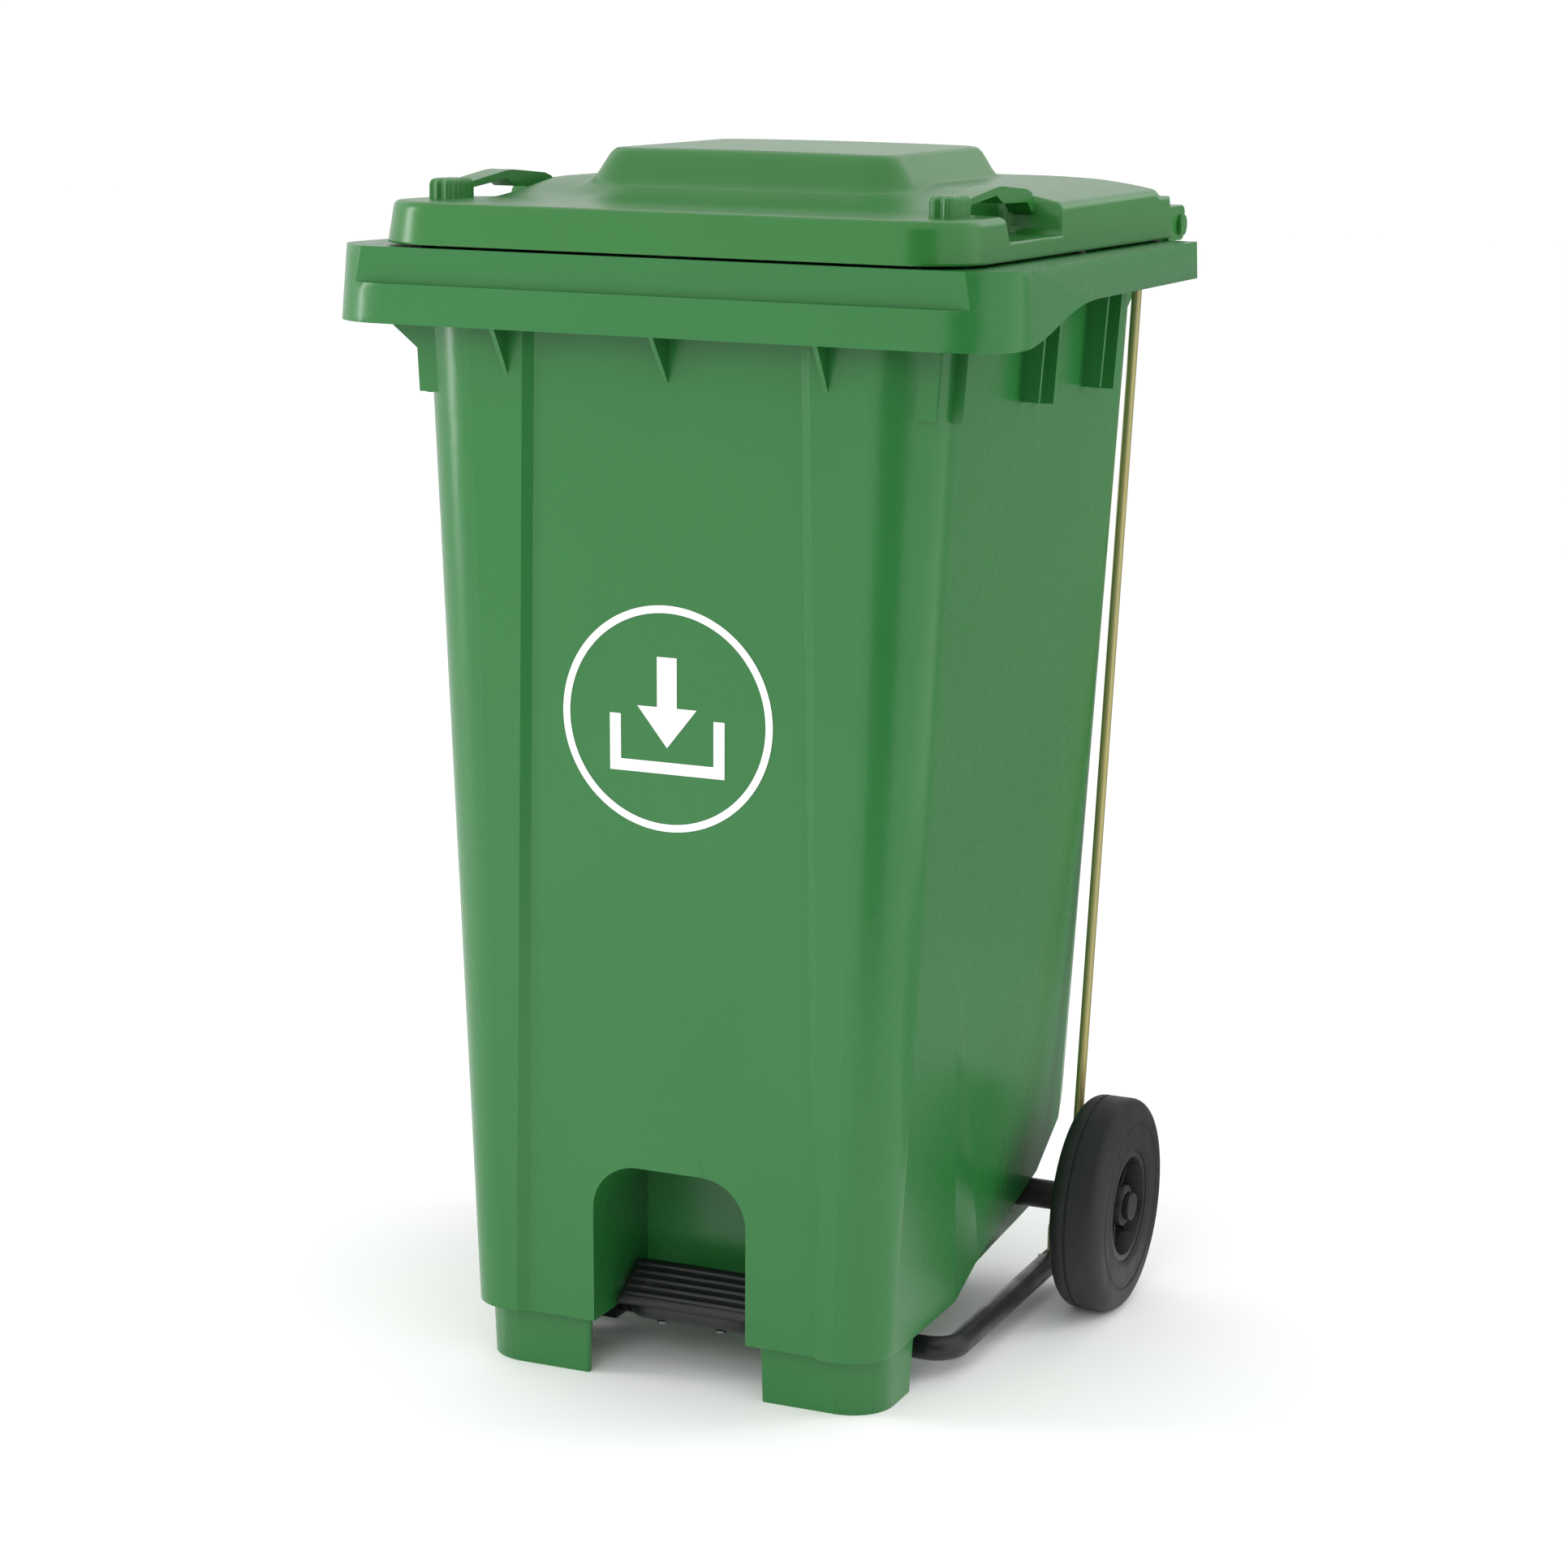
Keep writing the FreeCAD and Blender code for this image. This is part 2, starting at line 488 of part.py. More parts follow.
def lid_lever(side):
    """Steel lever in the ear: turns with the lid and is pushed up by the rod's pin in its slot."""
    arm_dy, arm_dz = ROD_TOP_Y - HINGE_Y, ROD_TOP_Z - HINGE_Z
    length = math.hypot(arm_dy, arm_dz)
    uy, uz = arm_dy / length, arm_dz / length
    ny, nz = -uz, uy

    def at(along, across):
        return (HINGE_Y + uy * along + ny * across, HINGE_Z + uz * along + nz * across)
    blade = plate_x([at(0, 9), at(SLOT_FAR, 12), at(SLOT_FAR + 9, 5), at(SLOT_FAR + 9, -5),
                     at(SLOT_FAR, -12), at(0, -9)], LEVER_X0, LEVER_X1)
    blade = blade.fuse(cylinder_x(LEVER_X0, LEVER_X1, HINGE_Y, HINGE_Z, 10))
    roof = EAR_TOP - EAR_SKIN
    web = plate_x([(HINGE_Y - 40, ROD_TOP_Z + 6), (HINGE_Y - 5, HINGE_Z - 4), (HINGE_Y - 5, roof),
                   (HINGE_Y - 24, roof)], LEVER_X0, LEVER_X1)
    flange = box(LEVER_X0, 243, HINGE_Y - 24, HINGE_Y - 1, roof - 3, roof)
    lever = fuse_all([blade, web, flange])
    near_y, near_z = at(SLOT_NEAR, 0)
    far_y, far_z = at(SLOT_FAR, 0)
    slot = plate_x([at(SLOT_NEAR, SLOT_R), at(SLOT_FAR, SLOT_R), at(SLOT_FAR, -SLOT_R), at(SLOT_NEAR, -SLOT_R)],
                   LEVER_X0 - 1, LEVER_X1 + 1)
    lever = lever.cut([slot, cylinder_x(LEVER_X0 - 1, LEVER_X1 + 1, near_y, near_z, SLOT_R),
                       cylinder_x(LEVER_X0 - 1, LEVER_X1 + 1, far_y, far_z, SLOT_R),
                       cylinder_x(LEVER_X0 - 1, LEVER_X1 + 1, HINGE_Y, HINGE_Z, HINGE_PIN_R + RUNNING_GAP)])
    lever = lever.cut(lever_screw_shanks())
    return lever if side > 0 else mirror_x(lever)


def lever_screw_shanks():
    """Shanks of the lever screws, two a side."""
    shanks = []
    for y in LEVER_SCREW_YS:
        low = V(LEVER_SCREW_X, y, EAR_TOP - LEVER_SCREW_LENGTH)
        shanks += both_sides(Part.makeCylinder(SCREW_R, LEVER_SCREW_LENGTH, low, Z_AXIS))
    return shanks


def lever_screws():
    """Screws through the ear's roof into each lever's flange, two a side."""
    screws = []
    for shank in lever_screw_shanks():
        centre = shank.BoundBox.Center
        head = Part.makeCylinder(4.5, 2.5, V(centre.x, centre.y, EAR_TOP), Z_AXIS)
        screws.append(head.fuse(shank))
    return screws


def rod_line_y(z):
    """Y of the push rod's straight part at height z."""
    return ROD_TOP_Y - (ROD_TOP_Z - z) * ROD_LEAN


def push_rod(side):
    """Long zinc-plated rod with an eye at each end and a crank above the pedal tube."""
    points = [(ROD_X, ROD_TOP_Y, ROD_TOP_Z), (ROD_X, rod_line_y(ROD_KNEE_Z), ROD_KNEE_Z),
              (LEG_X, ROD_FOOT_Y - 1, ROD_HEEL_Z), (LEG_X, ROD_FOOT_Y, ROD_FOOT_Z)]
    rod = bent_rod(points, 12.0, ROD_R)
    top_eye = cylinder_x(ROD_X - 5, ROD_X + 5, ROD_TOP_Y, ROD_TOP_Z, 9)
    foot_eye = cylinder_x(LEG_X - 4, LEG_X + 4, ROD_FOOT_Y, ROD_FOOT_Z, 7.5)
    rod = fuse_all([rod, top_eye, foot_eye])
    rod = rod.cut([cylinder_x(ROD_X - 9, ROD_X + 9, ROD_TOP_Y, ROD_TOP_Z, LINK_PIN_R),
                   cylinder_x(LEG_X - 9, LEG_X + 9, ROD_FOOT_Y, ROD_FOOT_Z, LINK_PIN_R + RUNNING_GAP)])
    return rod if side > 0 else mirror_x(rod)


def rod_top_pin(side):
    """Pin fixed in the rod's upper eye, reaching through the lever's slot."""
    pin = cylinder_x(209.5, 234, ROD_TOP_Y, ROD_TOP_Z, LINK_PIN_R)
    head = cylinder_x(231.2, 234, ROD_TOP_Y, ROD_TOP_Z, 7)
    shape = pin.fuse(head)
    return shape if side > 0 else mirror_x(shape)


def rod_foot_pin(side):
    """Pin fixed across the end of the pedal tube, through the rod's lower eye."""
    pin = cylinder_x(LEG_X - 13, LEG_X + 13, ROD_FOOT_Y, ROD_FOOT_Z, LINK_PIN_R)
    head = cylinder_x(LEG_X + 11, LEG_X + 13.5, ROD_FOOT_Y, ROD_FOOT_Z, 6.5)
    shape = pin.fuse(head)
    return shape if side > 0 else mirror_x(shape)


# ------------------------------------------------------------------ pedal
def pedal_frame():
    """One bent steel tube: two long legs, two pivot runs and the crossbar under the pad."""
    tail_y = ROD_FOOT_Y + 16
    half = [(LEG_X, tail_y, PIVOT_Z), (LEG_X, PIVOT_Y, PIVOT_Z), (TUBE_TURN_X, PIVOT_Y, PIVOT_Z),
            (CROSSBAR_X, CROSSBAR_Y, CROSSBAR_Z)]
    points = half + [(-x, y, z) for x, y, z in reversed(half)]
    tube = bent_rod(points, TUBE_BEND_R, TUBE_R).cut(bent_rod(points, TUBE_BEND_R, TUBE_BORE_R))
    slots = pad_screw_shanks()
    for x in (-LEG_X, LEG_X):
        slots.append(box(x - 5.2, x + 5.2, ROD_FOOT_Y - 15, tail_y + 1, PIVOT_Z - 9, PIVOT_Z + 12))
        slots.append(cylinder_x(x - 14, x + 14, ROD_FOOT_Y, ROD_FOOT_Z, LINK_PIN_R))
    return tube.cut(slots)


def pedal_pad():
    """Moulded treadle, tipped down to the front, with raised cross ribs."""
    tilt = 32.0
    pad = box(-PAD_X, PAD_X, -26, 26, 0, 5)
    ribs = [box(-PAD_X + 4, PAD_X - 4, y - 1.5, y + 1.5, 5, 6.5) for y in range(-20, 21, 8)]
    skirts = [box(x - 2, x + 2, -26, 26, -7, 1) for x in (-PAD_X + 2, PAD_X - 2)]
    pad = fuse_all([pad] + ribs + skirts)
    pad.rotate(V(0, 0, 0), X_AXIS, tilt)
    pad.translate(V(0, CROSSBAR_Y + 4, CROSSBAR_Z + TUBE_R + 8))
    foot = box(-32, 32, CROSSBAR_Y - 8, CROSSBAR_Y + 8, CROSSBAR_Z, CROSSBAR_Z + 22)
    seat = cylinder_x(-50, 50, CROSSBAR_Y, CROSSBAR_Z, TUBE_R)
    return pad.fuse(foot.cut(seat)).cut(pad_screw_shanks())


def pad_screw_shanks():
    """Shanks of the pad screws, square to the crossbar."""
    return [Part.makeCylinder(SCREW_R, 26, V(x, CROSSBAR_Y, CROSSBAR_Z - TUBE_R), Z_AXIS)
            for x in (-PAD_SCREW_X, PAD_SCREW_X)]


def pad_screws():
    """Two screws up through the crossbar into the pad."""
    screws = []
    for shank in pad_screw_shanks():
        x = shank.BoundBox.Center.x
        head = Part.makeCylinder(5, 2.5, V(x, CROSSBAR_Y, CROSSBAR_Z - TUBE_R - 2.5), Z_AXIS)
        screws.append(head.fuse(shank))
    return screws


def pivot_clamp(side):
    """Strap that holds the pedal tube up in its saddle."""
    strap = box(106, 138, PIVOT_Y - CLAMP_HALF, PIVOT_Y + CLAMP_HALF, PIVOT_Z - TUBE_R - 3, PIVOT_Z + 0.5)
    strap = strap.cut(cylinder_x(100, 150, PIVOT_Y, PIVOT_Z, TUBE_R + RUNNING_GAP))
    strap = strap.cut(box(100, 150, PIVOT_Y - 30, PIVOT_Y - 15.5, 0, PIVOT_Z - 4))
    strap = strap.cut(box(100, 150, PIVOT_Y + 15.5, PIVOT_Y + 30, 0, PIVOT_Z - 4))
    for y in (PIVOT_Y - CLAMP_SCREW_Y, PIVOT_Y + CLAMP_SCREW_Y):
        strap = strap.cut(Part.makeCylinder(2.6, 40, V(122, y, 0), Z_AXIS))
    return strap if side > 0 else mirror_x(strap)


def clamp_screws():
    """Four screws that fix the straps to the tub."""
    screws = []
    for y in (PIVOT_Y - CLAMP_SCREW_Y, PIVOT_Y + CLAMP_SCREW_Y):
        head = Part.makeCylinder(4.8, 3, V(122, y, PIVOT_Z - 7), Z_AXIS)
        shank = Part.makeCylinder(2.6, 26, V(122, y, PIVOT_Z - 5), Z_AXIS)
        screws += both_sides(head.fuse(shank))
    return screws


# ------------------------------------------------------------------ wheels
def axle():
    """Steel bar through the carrier and both wheels."""
    return cylinder_x(-WHEEL_OUT + 3, WHEEL_OUT - 3, AXLE_Y, AXLE_Z, AXLE_R)


def axle_sleeve(side):
    """Plastic spacer on the axle between the body and the wheel."""
    sleeve = ring_x(184, WHEEL_IN - 2.5, AXLE_Y, AXLE_Z, 13.5, AXLE_R)
    return sleeve if side > 0 else mirror_x(sleeve)


def tyre(side):
    """Solid rubber tyre with rounded shoulders, a parting groove and a sidewall ring."""
    tread = Part.makeCylinder(WHEEL_R, WHEEL_OUT - WHEEL_IN, V(WHEEL_IN, AXLE_Y, AXLE_Z), X_AXIS)
    rims = [e for e in tread.Edges if abs(e.Length - 2 * math.pi * WHEEL_R) < 1]
    tread = tread.makeFillet(13.0, rims)
    tread = tread.cut(cylinder_x(WHEEL_IN - 1, WHEEL_OUT + 1, AXLE_Y, AXLE_Z, TYRE_BORE_R))
    groove_x = WHEEL_IN + 17
    groove = ring_x(groove_x - 0.8, groove_x + 0.8, AXLE_Y, AXLE_Z, WHEEL_R + 2, WHEEL_R - 1.2)
    sidewall = ring_x(WHEEL_OUT - 1, WHEEL_OUT + 1, AXLE_Y, AXLE_Z, 78, 76)
    shape = tread.cut([groove, sidewall])
    return shape if side > 0 else mirror_x(shape)


def wheel_hub(side):
    """Plastic hub: rim under the tyre, web, barrel and eight ribs on each face of the web."""
    middle = (WHEEL_IN + WHEEL_OUT) / 2
    rim = ring_x(WHEEL_IN + 3, WHEEL_OUT - 3, AXLE_Y, AXLE_Z, TYRE_BORE_R, TYRE_BORE_R - 6)
    web = ring_x(middle - 6, middle, AXLE_Y, AXLE_Z, TYRE_BORE_R - 5, HUB_BARREL_R - 1)
    barrel = ring_x(WHEEL_IN, WHEEL_OUT - 6, AXLE_Y, AXLE_Z, HUB_BARREL_R, BUSH_R)
    ribs = []
    for i in range(8):
        rib = box(middle - 17, middle + 10, AXLE_Y - 1.75, AXLE_Y + 1.75, AXLE_Z + HUB_BARREL_R - 1,
                  AXLE_Z + TYRE_BORE_R - 5)
        rib.rotate(V(middle, AXLE_Y, AXLE_Z), X_AXIS, 45.0 * i)
        ribs.append(rib)
    shape = fuse_all([rim, web, barrel] + ribs)
    return shape if side > 0 else mirror_x(shape)


def wheel_bush(side):
    """Plain bearing pressed in the hub, running on the axle."""
    bush = ring_x(WHEEL_IN, WHEEL_OUT - 6, AXLE_Y, AXLE_Z, BUSH_R, AXLE_R + RUNNING_GAP)
    return bush if side > 0 else mirror_x(bush)


def axle_cap(side):
    """Push-on cap that keeps the wheel on the axle."""
    x0 = WHEEL_OUT - 6 + FACE_GAP
    cap = cylinder_x(x0, WHEEL_OUT + 2, AXLE_Y, AXLE_Z, 13.0)
    edge = [e for e in cap.Edges if e.BoundBox.XMin > WHEEL_OUT + 1.9]
    cap = cap.makeFillet(2.5, edge)
    cap = cap.cut(cylinder_x(x0 - 1, WHEEL_OUT - 3, AXLE_Y, AXLE_Z, AXLE_R))
    return cap if side > 0 else mirror_x(cap)


def axle_washers():
    """Thin washers between each sleeve and hub."""
    washer = ring_x(WHEEL_IN - 2.5, WHEEL_IN - FACE_GAP, AXLE_Y, AXLE_Z, 17, AXLE_R)
    return both_sides(washer)


# ------------------------------------------------------------------ small parts
def lid_buffers():
    """Rubber studs on the rim flange that the closed lid rests on."""
    pads = []
    for x, y in BUFFER_PLACES:
        stud = Part.makeCylinder(6, LID_BOTTOM - RIM_TOP, V(x, y, RIM_TOP), Z_AXIS)
        stem = Part.makeCylinder(SCREW_R, RIM_FLANGE, V(x, y, RIM_TOP - RIM_FLANGE), Z_AXIS)
        pads += both_sides(stud.fuse(stem))
    return pads


def emblem():
    """Printed film on the sunk panel: a ring round an arrow that points down into an open tray."""
    def flat(points):
        return plate_y(points, 0, -FILM)
    ring = Part.makeCylinder(EMBLEM_R, FILM, V(0, 0, 0), V(0, -1, 0))
    ring = ring.cut(Part.makeCylinder(EMBLEM_R - EMBLEM_STROKE, FILM, V(0, 0, 0), V(0, -1, 0)))
    arrow = flat([(-9, 52), (9, 52), (9, 10), (27, 10), (0, -24), (-27, 10), (-9, 10)])
    tray = flat([(-52, 2), (-52, -46), (52, -46), (52, 2), (42, 2), (42, -36), (-42, -36), (-42, 2)])
    lean = math.degrees(math.atan((FOOT_FRONT - MOUTH_FRONT) / (MOUTH_Z - FOOT_Z)))
    shapes = []
    for shape in (ring, arrow, tray):
        shape.rotate(V(0, 0, 0), X_AXIS, lean)
        shape.translate(V(0, blend(EMBLEM_Z, FOOT_FRONT, MOUTH_FRONT) + PANEL_DEPTH, EMBLEM_Z))
        shapes.append(shape)
    return shapes


def write(name, shape):
    """Save one node; a list becomes a group of separate solids."""
    solid = Part.makeCompound(shape) if isinstance(shape, list) else shape
    solid.exportStep("parts/" + name + ".step")


def main():
    os.makedirs("parts", exist_ok=True)
    write("bin_body", bin_body())
    write("lid", lid())
    write("lever_screws", lever_screws())
    write("pedal_frame", pedal_frame())
    write("pedal_pad", pedal_pad())
    write("pad_screws", pad_screws())
    write("clamp_screws", clamp_screws())
    write("axle", axle())
    write("axle_washers", axle_washers())
    write("lid_buffers", lid_buffers())
    write("emblem", emblem())
    paired = {"hinge_pin": hinge_pin, "hinge_clip": hinge_clip, "lid_lever": lid_lever, "push_rod": push_rod,
              "rod_top_pin": rod_top_pin, "rod_foot_pin": rod_foot_pin, "pivot_clamp": pivot_clamp,
              "axle_sleeve": axle_sleeve, "tyre": tyre, "wheel_hub": wheel_hub, "wheel_bush": wheel_bush,
              "axle_cap": axle_cap}
    for name, make in paired.items():
        for word, side in SIDES:
            write(name + "_" + word, make(side))


main()
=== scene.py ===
# %% [markdown]
# # A two-wheeled waste bin with a foot pedal
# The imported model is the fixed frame: every solid of the bin at its real size and place, in metres,
# with +Z up, the pedal side facing -Y and the floor at z = 0. This lesson dresses that frame. It
# sets a small studio round the bin, mixes one material for each finish, and replaces the solids
# whose soft, moulded shape plain solids can't show.

# %% Load the frame
import json
import math
import bmesh
import bpy
import numpy as np
from mathutils import Matrix, Vector


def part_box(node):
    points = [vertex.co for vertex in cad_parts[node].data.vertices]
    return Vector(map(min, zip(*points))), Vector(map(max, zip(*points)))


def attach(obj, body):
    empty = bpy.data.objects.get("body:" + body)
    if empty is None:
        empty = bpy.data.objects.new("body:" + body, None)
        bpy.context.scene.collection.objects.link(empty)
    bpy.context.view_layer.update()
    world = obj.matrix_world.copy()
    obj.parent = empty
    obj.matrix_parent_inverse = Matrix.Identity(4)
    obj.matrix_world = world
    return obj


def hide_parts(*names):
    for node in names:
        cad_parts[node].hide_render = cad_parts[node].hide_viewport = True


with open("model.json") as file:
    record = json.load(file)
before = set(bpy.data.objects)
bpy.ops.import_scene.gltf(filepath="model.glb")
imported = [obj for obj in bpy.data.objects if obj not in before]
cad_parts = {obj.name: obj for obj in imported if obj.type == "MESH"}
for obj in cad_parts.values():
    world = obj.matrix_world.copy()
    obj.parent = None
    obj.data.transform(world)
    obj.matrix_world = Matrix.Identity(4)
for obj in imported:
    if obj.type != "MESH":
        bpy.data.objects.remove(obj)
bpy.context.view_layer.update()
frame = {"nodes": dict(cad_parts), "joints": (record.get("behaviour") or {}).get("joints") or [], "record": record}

NODES = frame["nodes"]
SLOT_OF = {row["node"]: row["material_slot"] for row in frame["record"]["subparts"]}
MM = 0.001

# %% [markdown]
# ## The studio
# A product like this is shown on a pale sweep under very soft light. The floor here is one large
# plane and the world is an even white dome, so the shapes are told apart by what they mirror, not
# by hard shadows. A long box of light on the left draws the bright line along that corner, while
# the boxes on the right and in front light the bin without being mirrored in it. Four cards that
# show only in reflections put back the deep green that an all-white room would wash out of the
# front corner and the side.

# %% Camera
CAMERA_TURN, CAMERA_RISE, CAMERA_ROLL = math.radians(22.575), math.radians(15.491), math.radians(1.07)
CAMERA_DISTANCE, CAMERA_AIM = 3.329, Vector((-0.0038, 0.0, 0.2501))
CAMERA_LENS, CAMERA_SENSOR, CAMERA_SHIFT = 83.05, 36.0, (-0.0037, 0.1637)


def add_camera():
    """A camera on a sphere round the aim point, turned a little about its own line of sight."""
    data = bpy.data.cameras.new("studio_camera")
    camera = bpy.data.objects.new("studio_camera", data)
    bpy.context.scene.collection.objects.link(camera)
    back = Vector((math.sin(CAMERA_TURN) * math.cos(CAMERA_RISE),
                   -math.cos(CAMERA_TURN) * math.cos(CAMERA_RISE), math.sin(CAMERA_RISE)))
    side = Vector((math.cos(CAMERA_TURN), math.sin(CAMERA_TURN), 0.0))
    rise = back.cross(side)
    right = side * math.cos(CAMERA_ROLL) + rise * math.sin(CAMERA_ROLL)
    upward = rise * math.cos(CAMERA_ROLL) - side * math.sin(CAMERA_ROLL)
    turn = Matrix((right, upward, back)).transposed().to_4x4()
    camera.matrix_world = Matrix.Translation(CAMERA_AIM + back * CAMERA_DISTANCE) @ turn
    data.lens, data.sensor_width = CAMERA_LENS, CAMERA_SENSOR
    data.shift_x, data.shift_y = CAMERA_SHIFT
    bpy.context.scene.camera = camera
    return camera


camera = add_camera()
print("camera at", tuple(round(c, 3) for c in camera.location))

# %% Floor, cards and world
FLOOR_SIZE, FLOOR_GREY, FLOOR_ROUGHNESS = 40.0, 0.93, 0.9
WORLD_STRENGTH = 1.08
# Each card's name, width, height, place, turn about the upright axis, grey, and tilt (90 is upright).
CARDS = (
    ("front_card", 1.10, 1.7, (0.80, -1.40, 0.85), 25, 0.004, 90),
    ("rear_card", 1.40, 1.16, (0.85, 1.10, 0.58), -10, 0.26, 90),
    ("low_card", 1.40, 1.10, (1.0, 0.68, 0.012), -10, 0.26, 0),
    ("back_card", 3.0, 2.6, (-0.9, 2.3, 1.7), 22, 0.60, 90),
)
bpy.context.scene.view_settings.view_transform = "Standard"


def flat_card(name, width, height, place, turn):
    """A flat rectangle of the given size, turned and placed as given."""
    half_w, half_h = width / 2, height / 2
    corners = [(-half_w, -half_h, 0), (half_w, -half_h, 0), (half_w, half_h, 0), (-half_w, half_h, 0)]
    mesh = bpy.data.meshes.new(name)
    mesh.from_pydata(corners, [], [(0, 1, 2, 3)])
    card = bpy.data.objects.new(name, mesh)
    card.rotation_euler, card.location = turn, place
    bpy.context.scene.collection.objects.link(card)
    return card


def plain_material(name, grey, roughness):
    """A plain grey surface without gloss, for the studio itself."""
    material = bpy.data.materials.new(name)
    material.use_nodes = True
    shader = material.node_tree.nodes["Principled BSDF"]
    shader.inputs["Base Color"].default_value = (grey, grey, grey, 1.0)
    shader.inputs["Roughness"].default_value = roughness
    shader.inputs["Specular IOR Level"].default_value = 0.0
    return material


def reflected_card(name, width, height, place, turn, grey, tilt):
    """A card that shows only in reflections: tilted up from the floor, then turned about Z."""
    card = flat_card(name, width, height, place, (math.radians(tilt), 0, math.radians(turn)))
    card.data.materials.append(plain_material(name + "_cloth", grey, 1.0))
    card.visible_camera = False
    card.visible_shadow = False
    card.visible_diffuse = False


floor = flat_card("studio_floor", FLOOR_SIZE, FLOOR_SIZE, (0, 0, 0), (0, 0, 0))
floor.data.materials.append(plain_material("pale_floor", FLOOR_GREY, FLOOR_ROUGHNESS))
for row in CARDS:
    reflected_card(*row)

world = bpy.data.worlds.new("white_room")
world.use_nodes = True
world.node_tree.nodes["Background"].inputs["Color"].default_value = (1.0, 1.0, 1.0, 1.0)
world.node_tree.nodes["Background"].inputs["Strength"].default_value = WORLD_STRENGTH
bpy.context.scene.world = world

# %% Lights
# Each box's name, width and height, place, aim point, power in watts, and whether the bin mirrors it.
SOFT_BOXES = (
    ("left_box", (0.5, 2.0), (-2.4, -1.2, 1.3), (0, 0, 0.6), 26, True),
    ("right_box", (1.2, 2.0), (2.6, 1.4, 1.4), (0, 0, 0.6), 30, False),
    ("front_box", (1.6, 1.2), (0.2, -3.6, 2.3), (0, 0, 0.5), 22, False),
)


def soft_box(name, size, place, aim, power, mirrored):
    """A rectangular area light that looks at the aim point."""
    data = bpy.data.lights.new(name, "AREA")
    data.shape, data.size, data.size_y, data.energy = "RECTANGLE", size[0], size[1], power
    lamp = bpy.data.objects.new(name, data)
    lamp.location = place
    lamp.rotation_euler = (Vector(aim) - Vector(place)).to_track_quat("-Z", "Y").to_euler()
    bpy.context.scene.collection.objects.link(lamp)
    lamp.visible_camera = False
    lamp.visible_glossy = mirrored


for row in SOFT_BOXES:
    soft_box(*row)

# %% [markdown]
# ## Finishes
# Every finish starts from the same idea: a base colour that drifts a little, small scuffs that
# change both colour and roughness, and a fine bump, all from noise that is fixed to the piece.
# Polyethylene from a mould has a faint orange-peel. Rubber is matt with dust in it. Plated steel
# keeps the lines of the drawn bar. Noise at three scales is enough, and it costs little to render.

# %% Material helpers
# The scales of the drift and scuff noise, and the part of each that is stretched to its full effect.
DRIFT_SCALE, SCUFF_SCALE, SCUFF_STRETCH = 5.0, 38.0, (1, 1, 0.35)
DRIFT_SPAN, SCUFF_SPAN, ROUGHNESS_SPAN = (0.35, 0.65), (0.66, 0.8), (0.3, 0.75)
SCUFF_SHARE, BUMP_DISTANCE = 0.5, 0.0006


def mix_colours(tree, factor, first, second):
    """Mixes two colours by a factor socket and returns the colour socket."""
    node = tree.nodes.new("ShaderNodeMix")
    node.data_type = "RGBA"
    tree.links.new(factor, node.inputs["Factor"])
    for socket, value in (("A", first), ("B", second)):
        target = [s for s in node.inputs if s.name == socket and s.type == "RGBA"][0]
        if isinstance(value, bpy.types.NodeSocket):
            tree.links.new(value, target)
        else:
            target.default_value = (*value, 1.0)
    return [s for s in node.outputs if s.type == "RGBA"][0]


def noise(tree, coordinates, scale, detail, stretch=(1, 1, 1)):
    """Noise in object space, optionally stretched along an axis; returns its factor socket."""
    mapping = tree.nodes.new("ShaderNodeMapping")
    mapping.inputs["Scale"].default_value = stretch
    tree.links.new(coordinates, mapping.inputs["Vector"])
    texture = tree.nodes.new("ShaderNodeTexNoise")
    texture.inputs["Scale"].default_value = scale
    texture.inputs["Detail"].default_value = detail
    tree.links.new(mapping.outputs["Vector"], texture.inputs["Vector"])
    return texture.outputs["Fac"]


def remap(tree, factor, low, high, to_low, to_high):
    """Stretches a factor between two values on to a new range, clamped."""
    node = tree.nodes.new("ShaderNodeMapRange")
    limits = {"From Min": low, "From Max": high, "To Min": to_low, "To Max": to_high}
    for socket, value in limits.items():
        node.inputs[socket].default_value = value
    tree.links.new(factor, node.inputs["Value"])
    return node.outputs["Result"]


def finish_material(name, colour, drift, scuff, roughness, grain, bump,
                    metallic=0.0, stretch=(1, 1, 1)):
    """Colour drifting towards a second one, scuffs, roughness between two values, and fine bump."""
    material = bpy.data.materials.new(name)
    material.use_nodes = True
    tree = material.node_tree
    shader = tree.nodes["Principled BSDF"]
    place = tree.nodes.new("ShaderNodeTexCoord").outputs["Object"]
    broad = noise(tree, place, DRIFT_SCALE, 2.0)
    fine = noise(tree, place, grain, 3.0, stretch)
    marks = noise(tree, place, SCUFF_SCALE, 6.0, SCUFF_STRETCH)
    tint = mix_colours(tree, remap(tree, broad, *DRIFT_SPAN, 0.0, 1.0), colour, drift)
    tint = mix_colours(tree, remap(tree, marks, *SCUFF_SPAN, 0.0, SCUFF_SHARE), tint, scuff)
    tree.links.new(tint, shader.inputs["Base Color"])
    tree.links.new(remap(tree, marks, *ROUGHNESS_SPAN, *roughness), shader.inputs["Roughness"])
    shader.inputs["Metallic"].default_value = metallic
    bumper = tree.nodes.new("ShaderNodeBump")
    bumper.inputs["Strength"].default_value = bump
    bumper.inputs["Distance"].default_value = BUMP_DISTANCE
    tree.links.new(fine, bumper.inputs["Height"])
    tree.links.new(bumper.outputs["Normal"], shader.inputs["Normal"])
    return material


